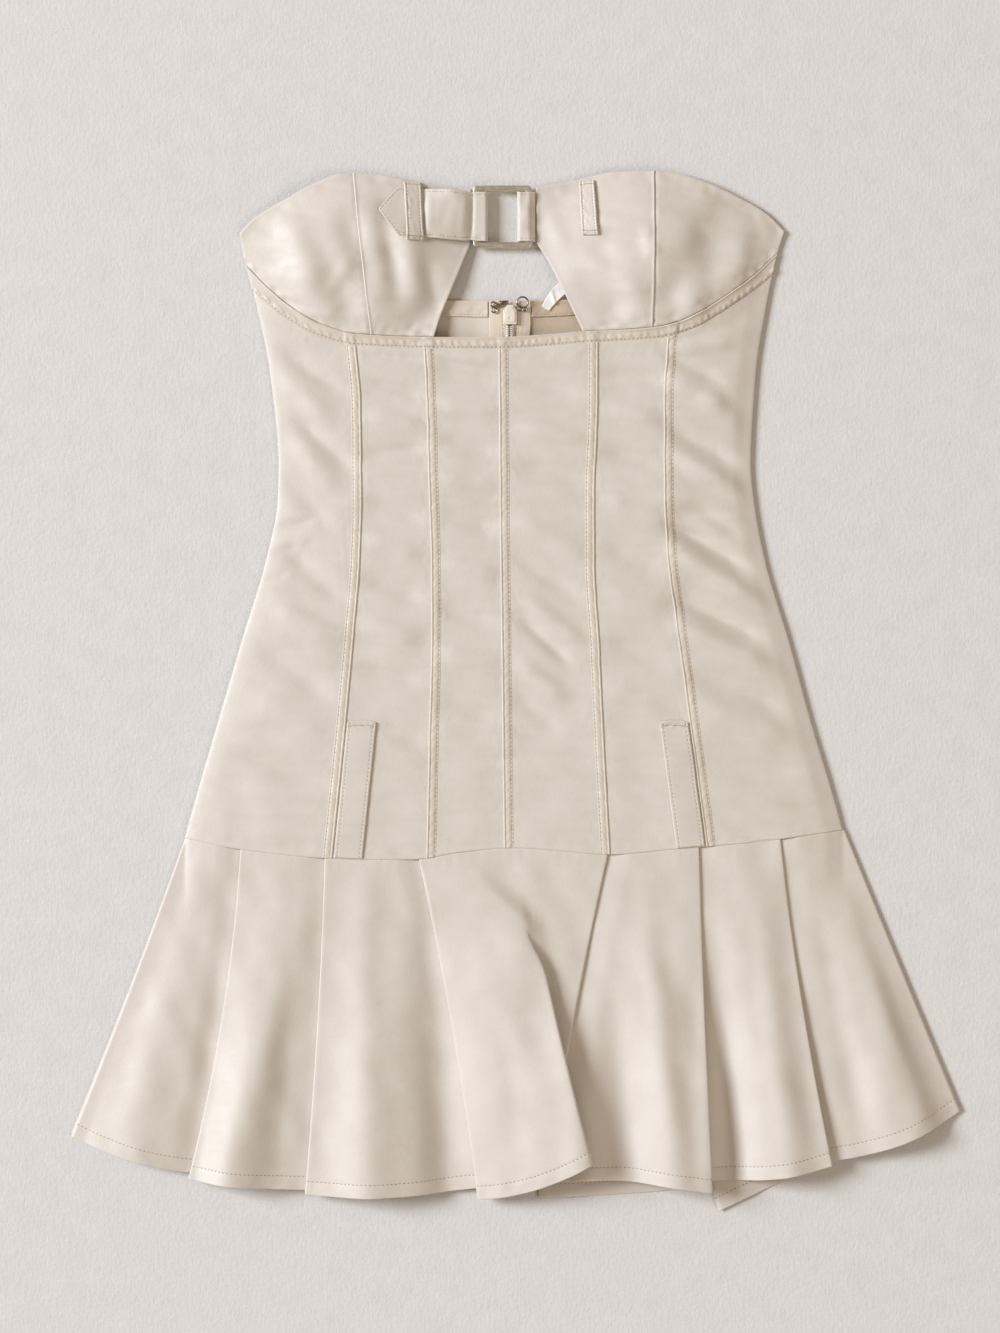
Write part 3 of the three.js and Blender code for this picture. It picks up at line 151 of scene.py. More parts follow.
# Soft ridges and troughs of the front flounce, in the same way.
FLOUNCE_CREASES = [
    # first and second panels
    (206, 850, 120, 1190, 16, 0.8), (232, 860, 190, 1230, 11, -1.1), (171, 860, 128, 1000, 2.4, -0.7),
    (140, 962, 74, 1160, 2.6, -0.9), (322, 850, 214, 1230, 15, 1.5), (300, 870, 276, 1240, 14, -1.1),
    # third panel, then the folded one
    (368, 850, 362, 1250, 15, 2), (420, 860, 456, 1260, 16, -3.6),
    (436, 850, 500, 1230, 16, 1.2), (552, 940, 596, 1230, 15, 3), (500, 960, 524, 1250, 12, -0.9),
    # the panels to the right of it
    (612, 950, 630, 1250, 21, -6), (640, 850, 684, 1250, 12, 2.2),
    (700, 880, 716, 1250, 9, 1.4), (716, 880, 738, 1250, 15, -4.6), (752, 846, 800, 1240, 13, 1.4),
    (784, 860, 838, 1200, 10, 0.9), (806, 870, 880, 1200, 12, -1.8), (830, 846, 940, 1170, 15, 1.4),
]


def lerp(a, b, t):
    return a + (b - a) * t


def smooth(t):
    t = np.clip(t, 0, 1)
    return t * t * (3 - 2 * t)


def bell(away, wide, power=2):
    """A soft hump of unit height, with a flatter top at a higher power."""
    return np.exp(-((away / wide) ** power))


def through(rows):
    """A curve through (place, value) rows without overshoot, straight beyond its ends."""
    xs, ys = np.array(sorted(rows), float).T
    steps = np.diff(ys) / np.diff(xs)
    slopes = np.concatenate([steps[:1], np.zeros(len(xs) - 2), steps[-1:]])
    for k in range(1, len(xs) - 1):
        a, b = steps[k - 1], steps[k]
        slopes[k] = 0 if a * b <= 0 else 2 * a * b / (a + b)

    def at(x):
        x = np.asarray(x, float)
        k = np.clip(np.searchsorted(xs, x, side="right") - 1, 0, len(xs) - 2)
        w = xs[k + 1] - xs[k]
        t = (x - xs[k]) / w
        inner = ys[k] * (1 + 2 * t) * (1 - t) ** 2 + slopes[k] * w * t * (1 - t) ** 2
        inner = inner + ys[k + 1] * t * t * (3 - 2 * t) + slopes[k + 1] * w * t * t * (t - 1)
        low = ys[0] + slopes[0] * (x - xs[0])
        high = ys[-1] + slopes[-1] * (x - xs[-1])
        return np.where(x <= xs[0], low, np.where(x >= xs[-1], high, inner))

    return at


def column(rows, k):
    return through([(row[0], row[k]) for row in rows])


bust_seam = through(BUST_SEAM)
hip_seam = through(HIP_SEAM)
back_top = through(BACK_TOP)
left_top = through(LEFT_TOP)
right_top = through(RIGHT_TOP)
cup_seam_left = column(CUP_SEAMS, 1)
cup_seam_right = column(CUP_SEAMS, 2)
keyhole_left = through(KEYHOLE_LEFT)
keyhole_right = through(KEYHOLE_RIGHT)
bones = [column(BONES, k) for k in range(1, 6)]
loft = through(LOFT)
side_left_curve = column(SIDES, 1)
side_right_curve = column(SIDES, 2)


def left_side(y):
    return side_left_curve(np.minimum(y, SIDES[0][0]))


def right_side(y):
    return side_right_curve(np.minimum(y, SIDES[0][0]))


def band_edge(x):
    slope = bust_seam(x + 0.5) - bust_seam(x - 0.5)
    return bust_seam(x) - BAND_WIDTH * np.hypot(1, slope)


def shifted(edge, by):
    return lambda x: edge(x) + by


def between(a, b, t):
    return lambda y: lerp(a(y), b(y), t)


def photo_rows(rows):
    """Rows placed by the photograph's pixels, in millimetres."""
    return [
        ((a - PX_X) * PX, (PX_Y - b) * PX, (c - PX_X) * PX, (PX_Y - d) * PX, wide, rise)
        for a, b, c, d, wide, rise in rows
    ]


def ridges(rows, x, y, shape):
    """The height of soft ridges and troughs, of a shape such as capsule, fold or fan."""
    height = np.zeros(np.broadcast(x, y).shape)
    for x0, y0, x1, y1, wide, rise in rows:
        ax, ay = x1 - x0, y1 - y0
        long = math.hypot(ax, ay)
        t = ((x - x0) * ax + (y - y0) * ay) / long**2
        away = ((x - x0) * ay - (y - y0) * ax) / long
        height += rise * shape(t, away, wide, long)
    return height


def capsule(t, away, wide, long):
    """A ridge with round ends, as in the solids."""
    return bell(np.hypot(away, (t - np.clip(t, 0, 1)) * long), wide)


def fold(t, away, wide, long):
    """A ridge that fades at both of its ends."""
    over = max(0.12, 0.8 * wide / long)
    return smooth((t + over) / (0.3 + over)) * smooth((1 + over - t) / (0.3 + over)) * bell(away, wide)


def fan(t, away, wide, long):
    """A ridge that starts narrow and low, widens along its length and goes on beyond it."""
    t = np.clip(t, 0, 1)
    return 1.15 * smooth(t / 0.65) * bell(away, wide * (0.5 + 0.6 * t))


def waves(x, y, seed, count, size, stretch=1.0, lean=0.0):
    """Smooth uneven noise of about unit height: waves about size millimetres long, stretched along x."""
    random = np.random.RandomState(seed)
    total = np.zeros(np.broadcast(x, y).shape)
    for _ in range(count):
        angle = random.uniform(0, 2 * math.pi)
        k = 2 * math.pi / (size * random.uniform(0.7, 1.6))
        kx, ky = k * math.cos(angle) / stretch, k * math.sin(angle)
        total += np.sin(kx * (x + lean * y) + ky * (y + lean * x) + random.uniform(0, 2 * math.pi))
    return total / math.sqrt(count / 2)


SMALL_FOLDS = photo_rows(CREASES)
SKIRT_FOLDS = photo_rows(FLOUNCE_CREASES)
CREASE_DEPTH = 2.0
SKIRT_DEPTH = 1.35


def arch(x, y):
    """The share of the front's height across its width: full in the middle, none at the sides."""
    left, right = left_side(y), right_side(y)
    across = np.minimum(1, np.abs((2 * x - left - right) / (right - left)))
    return np.sqrt(1 - across**4)


def plain_height(x, y):
    """The underside of the front in its main form, as in the solids."""
    height = loft(y) + ridges(MAIN_FOLDS, x, y, capsule)
    for cx, cy, wide, high, rise in CUP_DOMES:
        away = ((x - cx) / wide) ** 2 + ((y - cy) / high) ** 2
        height = height + rise * np.maximum(0, 1 - away) ** 1.5
    return FRONT_LIFT + arch(x, y) * height


def front_height(x, y):
    """The underside of the front with its creases."""
    drag = waves(x, y, 11, 14, 17, stretch=4.0, lean=0.12) * (0.6 + 0.4 * waves(x, y, 12, 5, 120))
    soft = waves(x, y, 13, 10, 46)
    fine = waves(x, y, 14, 16, 7.5, stretch=5.0, lean=0.14)
    small = CREASE_DEPTH * ridges(SMALL_FOLDS, x, y, fold) + 0.24 * drag + 0.18 * soft + 0.08 * fine
    small = np.minimum(1, 2.2 * arch(x, y) ** 2) * small
    left, right = smooth((x - left_side(y)) / 12), smooth((right_side(y) - x) / 14)
    rim = np.minimum(0.9 + 0.1 * left, 0.6 + 0.4 * right)
    return FRONT_LIFT + rim * (plain_height(x, y) - FRONT_LIFT + small)


# Meshes


def faces_of(k):
    """The quads of a grid of point numbers."""
    return np.stack([k[:-1, :-1], k[1:, :-1], k[1:, 1:], k[:-1, 1:]], -1).reshape(-1, 4)


def ring_faces(rows, cols, closed):
    """The quads of a row of rings, joined end to end or open."""
    k = np.arange(rows * cols).reshape(rows, cols)
    k = np.concatenate([k, k[:, :1]], 1)
    return faces_of(np.concatenate([k, k[:1]]) if closed else k)


def add_mesh(name, points, quads, triangles=()):
    """A mesh object from points in millimetres and arrays of quads and triangles, smooth all over."""
    points = np.asarray(points, float).reshape(-1, 3)
    quads = np.asarray(quads, int).reshape(-1, 4)
    triangles = np.asarray(triangles, int).reshape(-1, 3)
    corners = np.concatenate([quads.ravel(), triangles.ravel()])
    sizes = np.concatenate([np.full(len(quads), 4), np.full(len(triangles), 3)])
    mesh = bpy.data.meshes.new(name)
    mesh.vertices.add(len(points))
    mesh.vertices.foreach_set("co", (points * MM).ravel())
    mesh.loops.add(len(corners))
    mesh.loops.foreach_set("vertex_index", corners)
    mesh.polygons.add(len(sizes))
    mesh.polygons.foreach_set("loop_start", np.concatenate([[0], np.cumsum(sizes)[:-1]]))
    mesh.polygons.foreach_set("use_smooth", np.ones(len(sizes), bool))
    mesh.update(calc_edges=True)
    mesh.validate()
    thing = bpy.data.objects.new(name, mesh)
    scene.collection.objects.link(thing)
    return thing


def outward(points, quads):
    """Quads that face out of the closed form they make."""
    a, b, c, d = (points[quads[:, k]] for k in range(4))
    volume = np.einsum("ij,ij->", a, np.cross(b, c)) + np.einsum("ij,ij->", a, np.cross(c, d))
    return quads if volume > 0 else quads[:, ::-1]


def wall_mesh(name, lower, upper):
    """A closed wall between two grids of points."""
    count = lower[..., 0].size
    k = np.arange(count).reshape(lower.shape[:2])
    ring = np.concatenate([k[0, :], k[1:, -1], k[-1, -2::-1], k[-2:0:-1, 0]])
    after = np.roll(ring, -1)
    rim = np.stack([ring + count, after + count, after, ring], -1)
    quads = np.concatenate([faces_of(k)[:, ::-1], faces_of(k + count), rim])
    points = np.concatenate([lower.reshape(-1, 3), upper.reshape(-1, 3)])
    return add_mesh(name, points, outward(points, quads))


def normals(grid):
    down, across = np.gradient(grid, axis=0), np.gradient(grid, axis=1)
    n = np.cross(across, down)
    n /= np.linalg.norm(n, axis=2, keepdims=True) + 1e-12
    return -n if n[..., 2].mean() < 0 else n


def edge_distances(grid):
    """How far each point is from the grid's first and last row and first and last column."""
    rows = np.linalg.norm(np.diff(grid, axis=0), axis=2)
    cols = np.linalg.norm(np.diff(grid, axis=1), axis=2)
    top = np.concatenate([np.zeros((1, grid.shape[1])), np.cumsum(rows, 0)])
    left = np.concatenate([np.zeros((grid.shape[0], 1)), np.cumsum(cols, 1)], 1)
    return {"top": top, "bottom": top[-1:] - top, "left": left, "right": left[:, -1:] - left}


EDGE_STEPS = [0, 0.12, 0.34, 0.62, 1.0, 1.6, 2.4, 3.4]


def stations(length, step, extra=()):
    """Shares of a length with close steps at its ends and round extra distances from its start."""
    places = list(np.linspace(0, length, max(2, int(round(length / step))) + 1))
    places += EDGE_STEPS + [length - d for d in EDGE_STEPS]
    for place in extra:
        places += [place + d for d in (-1.2, -0.7, -0.35, 0, 0.35, 0.7, 1.2)]
    return spaced([p for p in places if 0 <= p <= length], 0.1, length)


def spaced(places, least, length):
    """Places in order, none closer than least, as shares of a length."""
    places = sorted(places)
    kept = [places[0]]
    for p in places[1:]:
        if p - kept[-1] > least:
            kept.append(p)
    kept[-1] = length
    return np.array(kept) / length


def curled(length, step, low_end):
    """Shares of a length, closer at the end where the cloth curls down at the side seam."""
    ease = length * (1 - np.cos(np.linspace(0, 0.5, int(length / step) + 14) * np.pi))
    places = list(ease) + EDGE_STEPS + [length - d for d in EDGE_STEPS]
    shares = spaced(places, 0.12, length)
    return shares if low_end else 1 - shares[::-1]


def rounded(distances, radius=0.6, least=0.12):
    """The share of a wall's thickness near its edges, which are rounded."""
    share = 1.0
    for distance in distances.values():
        t = np.minimum(distance / radius, 1)
        share = share * np.maximum(least, np.sqrt(np.maximum(0, 1 - (1 - t) ** 2)))
    return share


class Cloth:
    """A wall of cloth about a grid of middle points, with relief along its normal."""

    def __init__(self, name, middle, thick=CLOTH, relief=None):
        self.far = edge_distances(middle)
        n = normals(middle)
        if relief is not None:
            middle = middle + n * relief(self.far, middle)[..., None]
        half = (thick / 2 * rounded(self.far))[..., None]
        middle = np.concatenate([middle[..., :2], np.maximum(middle[..., 2:], half)], -1)
        self.normal = n
        self.middle = middle
        self.top = middle + n * half
        self.piece = wall_mesh(name, middle - n * half, self.top)

    def line(self, edge, inset, start=0.0, end=1.0, above=0.0):
        """Points and normals on the top at a distance in from an edge."""
        across = edge in ("top", "bottom")
        points = np.swapaxes(self.top, 0, 1) if across else self.top
        far = self.far[edge].T if across else self.far[edge]
        ups = np.swapaxes(self.normal, 0, 1) if across else self.normal
        path, up = [], []
        for p, d, n in zip(points, far, ups):
            if d[0] > d[-1]:
                p, d, n = p[::-1], d[::-1], n[::-1]
            path.append([np.interp(inset, d, p[:, k]) for k in range(3)])
            up.append([np.interp(inset, d, n[:, k]) for k in range(3)])
        first, last = int(start * (len(path) - 1)), int(math.ceil(end * (len(path) - 1)))
        path, up = np.array(path)[first : last + 1], np.array(up)[first : last + 1]
        return path + up * above, up


def resample(path, up, places):
    steps = np.linalg.norm(np.diff(path, axis=0), axis=1)
    at = np.concatenate([[0], np.cumsum(steps)])
    at += np.arange(len(at)) * 1e-9
    inter = lambda values: np.stack([np.interp(places(at[-1]), at, values[:, k]) for k in range(3)], -1)
    return inter(path), inter(up)


STITCHES = {}


def stitch(group, lines, pitch=2.6, length=1.9, radius=0.19):
    """Collects a row of stitches along a line of points and normals."""
    path, up = lines
    total = np.linalg.norm(np.diff(path, axis=0), axis=1).sum()
    count = max(1, int(total / pitch))
    centres = lambda full: (np.arange(count) + 0.5) * full / count
    middle, n = resample(path, up, centres)
    ahead, _ = resample(path, up, lambda full: np.minimum(centres(full) + 0.4, full))
    behind, _ = resample(path, up, lambda full: np.maximum(centres(full) - 0.4, 0))
    along = ahead - behind
    along /= np.linalg.norm(along, axis=1, keepdims=True) + 1e-9
    n = n / (np.linalg.norm(n, axis=1, keepdims=True) + 1e-9)
    side = np.cross(n, along)
    STITCHES.setdefault(group, []).append((middle, along, side, n, length / 2, radius))


def sew(group):
    """One mesh of all the stitches that were collected for a group."""
    sides = 5
    angles = 2 * np.pi * np.arange(sides) / sides
    points, quads, triangles, start = [], [], [], 0
    for middle, along, side, n, half, radius in STITCHES[group]:
        ring = radius * (np.cos(angles)[:, None, None] * side + np.sin(angles)[:, None, None] * n)
        body = 0.55 * half
        lift = n * radius * 0.35
        first = middle - along * body + ring + lift
        second = middle + along * body + ring + lift
        ends = np.stack([middle - along * half - n * radius, middle + along * half - n * radius])
        block = np.concatenate([first, second, ends])
        points.append(np.swapaxes(block, 0, 1).reshape(-1, 3))
        base = start + np.arange(len(middle))[:, None] * (2 * sides + 2)
        for k in range(sides):
            j = (k + 1) % sides
            quads.append(base + np.array([[k, j, sides + j, sides + k]]))
            triangles.append(base + np.array([[j, k, 2 * sides]]))
            triangles.append(base + np.array([[sides + k, sides + j, 2 * sides + 1]]))
        start += len(middle) * (2 * sides + 2)
    return add_mesh(group, np.concatenate(points), np.concatenate(quads), np.concatenate(triangles))


def meet(line, edge):
    """The height at which a column line meets an edge."""
    y = edge(line(0.0))
    for _ in range(14):
        y = edge(line(y))
    return float(y)


def plan(columns, top, bottom, rows):
    """Plan points of a panel from its column lines, cut by a top and a bottom edge."""
    ends = np.array([(meet(line, top), meet(line, bottom)) for line in columns])
    y = lerp(ends[None, :, 0], ends[None, :, 1], np.asarray(rows)[:, None])
    x = np.stack([columns[j](y[:, j]) for j in range(len(columns))], 1)
    return x, y


def on_front(x, y, off):
    """Points off the underside of the front, square to it."""
    step = 0.5
    dx = (front_height(x - step, y) - front_height(x + step, y)) / (2 * step)
    dy = (front_height(x, y - step) - front_height(x, y + step)) / (2 * step)
    long = np.sqrt(dx * dx + dy * dy + 1)
    z = front_height(x, y)
    return np.stack([x + off * dx / long, y + off * dy / long, z + off / long], -1)


# Materials


class Nodes:
    """Short calls for a material's nodes."""

    def __init__(self, name):
        self.material = bpy.data.materials.new(name)
        self.material.use_nodes = True
        self.tree = self.material.node_tree
        self.shader = self.tree.nodes["Principled BSDF"]
        self.place = self.add("ShaderNodeTexCoord").outputs["Object"]

    def add(self, kind, **values):
        node = self.tree.nodes.new(kind)
        for key, value in values.items():
            setattr(node, key, value)
        return node

    def link(self, start, end):
        self.tree.links.new(start, end)

    def noise(self, scale, detail=2.0, rough=0.5, stretch=(1, 1, 1)):
        mapping = self.add("ShaderNodeMapping")
        mapping.inputs["Scale"].default_value = stretch
        self.link(self.place, mapping.inputs["Vector"])
        node = self.add("ShaderNodeTexNoise")
        node.inputs["Scale"].default_value = scale
        node.inputs["Detail"].default_value = detail
        node.inputs["Roughness"].default_value = rough
        self.link(mapping.outputs["Vector"], node.inputs["Vector"])
        return node.outputs["Fac"]

    def ramp(self, factor, stops):
        node = self.add("ShaderNodeValToRGB")
        ramp = node.color_ramp
        for k, (place, colour) in enumerate(stops):
            stop = ramp.elements[k] if k < 2 else ramp.elements.new(place)
            stop.position = place
            stop.color = (*colour, 1)
        self.link(factor, node.inputs["Fac"])
        return node.outputs["Color"]

    def bump(self, height, distance, strength=1.0, before=None):
        node = self.add("ShaderNodeBump")
        node.inputs["Strength"].default_value = strength
        node.inputs["Distance"].default_value = distance
        self.link(height, node.inputs["Height"])
        if before is not None:
            self.link(before, node.inputs["Normal"])
        return node.outputs["Normal"]


def linear(*srgb):
    return tuple(((v / 255 + 0.055) / 1.055) ** 2.4 if v > 10 else v / 255 / 12.92 for v in srgb)


def cloth_material(name, light, dark, roughness=0.5, sheen=0.25, weave=0.00012, gloss=0.35):
    """Sateen or a plainer cloth: uneven tone, fine floats across, soft small wrinkles and a sheen."""
    n = Nodes(name)
    tone = n.noise(34, 9, 0.78)
    n.link(n.ramp(tone, [(0.3, dark), (0.72, light)]), n.shader.inputs["Base Color"])
    rough = n.noise(90, 3, 0.6, (1, 2.2, 1))
    spread = n.ramp(rough, [(0.25, (roughness - 0.07,) * 3), (0.75, (roughness + 0.08,) * 3)])
    n.link(spread, n.shader.inputs["Roughness"])
    floats = n.noise(1500, 2, 0.6, (0.35, 1, 0.35))
    threads = n.noise(1100, 1, 0.5, (1, 0.25, 0.5))
    small = n.noise(150, 3, 0.55, (0.8, 1.3, 1))
    normal = n.bump(small, 0.00022, 0.5)
    normal = n.bump(threads, weave * 0.6, 0.6, normal)
    normal = n.bump(floats, weave, 0.8, normal)
    n.link(normal, n.shader.inputs["Normal"])
    n.shader.inputs["Specular IOR Level"].default_value = gloss
    n.shader.inputs["Sheen Weight"].default_value = sheen
    n.shader.inputs["Sheen Roughness"].default_value = 0.4
    return n.material


def metal_material(name, light, dark, roughness=0.3):
    """Pale metal, brushed along its length."""
    n = Nodes(name)
    brush = n.noise(900, 3, 0.6, (0.06, 1, 1))
    n.link(n.ramp(brush, [(0.3, dark), (0.7, light)]), n.shader.inputs["Base Color"])
    n.link(n.ramp(n.noise(260, 2), [(0.2, (roughness - 0.08,) * 3), (0.8, (roughness + 0.1,) * 3)]),
           n.shader.inputs["Roughness"])
    n.shader.inputs["Metallic"].default_value = 1.0
    n.link(n.bump(brush, 0.00004, 0.5), n.shader.inputs["Normal"])
    return n.material


def enamel_material(name, light, dark):
    n = Nodes(name)
    n.link(n.ramp(n.noise(240, 3), [(0.3, dark), (0.7, light)]), n.shader.inputs["Base Color"])
    n.link(n.bump(n.noise(700, 2), 0.00003, 0.5), n.shader.inputs["Normal"])
    n.shader.inputs["Roughness"].default_value = 0.38
    n.shader.inputs["Coat Weight"].default_value = 0.2
    return n.material


CREAM = cloth_material("cream_sateen", linear(220, 213, 205), linear(213, 204, 194), 0.5, 0.3, gloss=0.42)
SEAM = cloth_material("cream_seam", linear(219, 210, 199), linear(210, 199, 185), 0.48, gloss=0.45)
# A darker, warmer cream: painted shade for the shadow that falls inside the garment to the right of the zip.
SHADED_INSIDE = cloth_material("cream_inside_painted_shade", linear(206, 190, 168), linear(194, 176, 152), 0.62, 0.15)
TAPE = cloth_material("tape_cloth", linear(226, 216, 200), linear(214, 202, 184), 0.75, 0.1, 0.00012, 0.25)
THREAD = cloth_material("thread", linear(190, 174, 152), linear(164, 146, 122), 0.6, 0.2, 0.00003, 0.3)
LABEL = cloth_material("label_ribbon", linear(250, 248, 244), linear(242, 239, 233), 0.55, 0.2, 0.00008)
IVORY = enamel_material("ivory_enamel", linear(240, 233, 222), linear(230, 221, 206))
METAL = metal_material("pale_metal", linear(236, 229, 216), linear(206, 198, 184), 0.42)
WIRE = metal_material("wire_metal", linear(176, 166, 150), linear(104, 95, 82), 0.26)


def finish_piece(piece, material, slot, *nodes, body="dress"):
    piece.data.materials.append(material)
    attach(piece, body)
    if nodes:
        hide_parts(*nodes)
    return piece


def declare(cloth, allowance):
    """Works out the size a piece of cloth was cut to, its own size and its seam allowances, and keeps it
    nowhere.
    """
    middle = cloth.middle
    across = np.linalg.norm(np.diff(middle, axis=1), axis=2)
    down = np.linalg.norm(np.diff(middle, axis=0), axis=2)
    wide, long = across.sum(1).max() + 2 * allowance, down.sum(0).max() + 2 * allowance
    wide, long = round(wide) * MM, round(long) * MM


def cloth_piece(
    name, middle, rests_on, relief=None, thick=CLOTH, material=CREAM, slot="cream_cloth", allowance=10
):
    """A cloth that stands for the node of its name."""
    cloth = Cloth(name, middle, thick, relief)
    finish_piece(cloth.piece, material, slot, name)
    declare(cloth, allowance)
    return cloth


# Camera, floor and light

LENS, SENSOR = 85, 36
PHOTO_HIGH = 1333
FLOOR_HALF = 2600

camera_data = bpy.data.cameras.new("camera")
camera_data.lens = LENS
camera_data.sensor_width = SENSOR
camera = bpy.data.objects.new("camera", camera_data)
camera.location = (-0.0112, 0.0174, LENS / SENSOR * PHOTO_HIGH * PX * MM)
scene.collection.objects.link(camera)
scene.camera = camera
scene.view_settings.view_transform = "Standard"


def floor_material():
    """A pale paper-like floor with fine uneven fibres."""
    n = Nodes("floor_paper")
    mottle = n.noise(60, 6, 0.7)
    colour = n.ramp(mottle, [(0.3, linear(218, 216, 214)), (0.7, linear(224, 222, 220))])
    n.link(colour, n.shader.inputs["Base Color"])
    down = n.noise(420, 3, 0.65, (1, 0.35, 1))
    over = n.noise(420, 3, 0.65, (0.35, 1, 1))
    normal = n.bump(n.noise(300, 5, 0.65), 0.0006, 0.5)
    normal = n.bump(down, 0.0004, 0.6, normal)
    normal = n.bump(over, 0.0004, 0.5, normal)
    n.link(normal, n.shader.inputs["Normal"])
    n.shader.inputs["Roughness"].default_value = 0.85
    n.shader.inputs["Specular IOR Level"].default_value = 0.2
    return n.material


def make_floor():
    corners = [(-1, -1, 0), (1, -1, 0), (1, 1, 0), (-1, 1, 0)]
    floor = add_mesh("floor", FLOOR_HALF * np.array(corners), [[0, 1, 2, 3]])
    floor.data.materials.append(floor_material())


def area_light(name, place, size, power, colour):
    """A square lamp that looks at the middle of the dress."""
    data = bpy.data.lights.new(name, "AREA")
    data.shape = "RECTANGLE"
    data.size = data.size_y = size
    data.energy = power
    data.color = colour
    lamp = bpy.data.objects.new(name, data)
    lamp.location = place
    x, y, z = place
    lamp.rotation_euler = (0, math.atan2(math.hypot(x, y), z), math.atan2(y, x))
    scene.collection.objects.link(lamp)


def make_light():
    world = bpy.data.worlds.new("studio")
    world.use_nodes = True
    ground = world.node_tree.nodes["Background"]
    ground.inputs["Color"].default_value = (1.0, 0.80, 0.58, 1)
    ground.inputs["Strength"].default_value = 0.32
    scene.world = world
    area_light("key", (-8.3, 2.4, 5.2), 3.6, 1190, (0.93, 0.988, 1.07))
    area_light("fill", (3.4, -2.4, 3.6), 2.8, 62, (1.0, 0.95, 0.90))


make_floor()
make_light()


# Bodice

CHANNEL_HALF = 3.5
WELT_NEAR = 4.5
WELT_FAR = 24.4
WELT_TACK, WELT_INSET = 3.4, 2.2  # its rows of stitches, in from its top and from its sides
bodice_top = shifted(band_edge, -SEAM_SIDE)
bodice_bottom = shifted(hip_seam, SEAM_SIDE)


def groove(away, depth, wide=0.5):
    return -depth * bell(away, wide)


def grooves(far, edges, inset, depth, wide=0.5):
    """The grooves of rows of stitches that run along edges."""
    return sum(groove(far[edge] - inset, depth, wide) for edge in edges)


def pucker(far, grid, inset, seed, size=5.5, reach=2.6, rise=0.14):
    """Small puckers that a row of stitches pulls in the cloth beside it."""
    along = waves(grid[..., 0], grid[..., 1], seed, 9, size)
    return rise * along * bell(far - inset, reach)


def seam_dip(far, edges, depth=0.55, wide=1.1):
    """The dips of seams, where two pieces are sewn together."""
    return grooves(far, edges, 0, depth, wide)


def bodice_panel(name, start, end, seed, seams):
    """One bodice panel between two column lines. seams are its edges that are sewn to another."""
    wide = float(np.max([end(y) - start(y) for y in (240, 60, -100)]))
    shares = curled(wide, 1.75, seams[0] == "right") if len(seams) == 1 else stations(wide, 1.75)
    columns = [between(start, end, t) for t in shares]
    x, y = plan(columns, bodice_top, shifted(hip_seam, -0.7), stations(PANEL_LENGTH, 2.1))

    def relief(far, grid):
        total = 0.15 * bell(far["bottom"] - 1.4, 1.0)
        for edge in seams:
            total = total + pucker(far[edge], grid, 7.0, seed + len(edge), 6.5, 2.2, 0.08)
        total = total + pucker(far["top"], grid, 7, seed + 3, 9, 4, 0.07)
        return total + pucker(far["bottom"], grid, 6, seed + 5, 11, 4, 0.07)

    cloth_piece(name, on_front(x, y, CLOTH / 2), ["back_left", "back_right"], relief)


def make_bodice():
    names = ("side_left", "pocket_left", "centre_left", "centre_right", "pocket_right", "side_right")
    starts = [left_side] + [shifted(line, SEAM_SIDE) for line in bones]
    ends = [shifted(line, -SEAM_SIDE) for line in bones] + [right_side]
    for k, name in enumerate(names):
        seams = ["left"] * (k > 0) + ["right"] * (k < 5)
        bodice_panel("bodice_" + name, starts[k], ends[k], 20 + 7 * k, seams)


# The side of each channel where its crisp seam edge is; the other side is flat and topstitched.
CHANNEL_SEAMS = [1, -1, -1, 1, -1]
CHANNEL_OFFSETS = [-3.5, -3.3, -3.0, -2.6, -2.2, -1.8, -1.3, -0.6, 0.2, 1.0, 1.7, 2.2, 2.6, 3.0, 3.3, 3.5]


def channel(k, line):
    """A boning channel: a crisp turned edge at its seam, a soft puckered strip, and a row of stitches."""
    crisp = CHANNEL_SEAMS[k]
    offsets = sorted(crisp * v for v in CHANNEL_OFFSETS)
    columns = [shifted(line, off) for off in offsets]
    x, y = plan(columns, bodice_top, shifted(hip_seam, -0.5), stations(PANEL_LENGTH, 1.45))
    across = crisp * np.array(offsets)[None, :] + 0 * x  # 3.5 at the crisp edge
    slant = np.sin(2 * math.pi * (y + 0.7 * across) / 5.8 + 1.6 * waves(x, y, 60 + k, 6, 60))
    body = (0.34 + 0.17 * slant + 0.06 * waves(x, y, 70 + k, 9, 9)) * bell(across + 0.1, 1.7, 4)
    ridge = 0.68 * bell(across - 2.8, 0.42)
    sink = 0.06 * smooth((-across - 2.75) / 0.5) - 0.7 * smooth((across - 3.1) / 0.3)
    sewn = groove(across + 2.3, 0.16, 0.35)
    middle = on_front(x, y, CLOTH - 0.45)
    middle = middle + normals(middle) * (0.14 + ridge + body + sewn + sink)[..., None]
    rests_on = ["bodice_pocket_left" if k < 2 else "bodice_pocket_right"]
    cloth = cloth_piece(f"boning_channel_{k + 1}", middle, rests_on, None, 0.9, SEAM, allowance=5)
    edge = "left" if crisp > 0 else "right"
    stitch("stitches_bodice", cloth.line(edge, 1.2), 2.9, 1.7, 0.2)


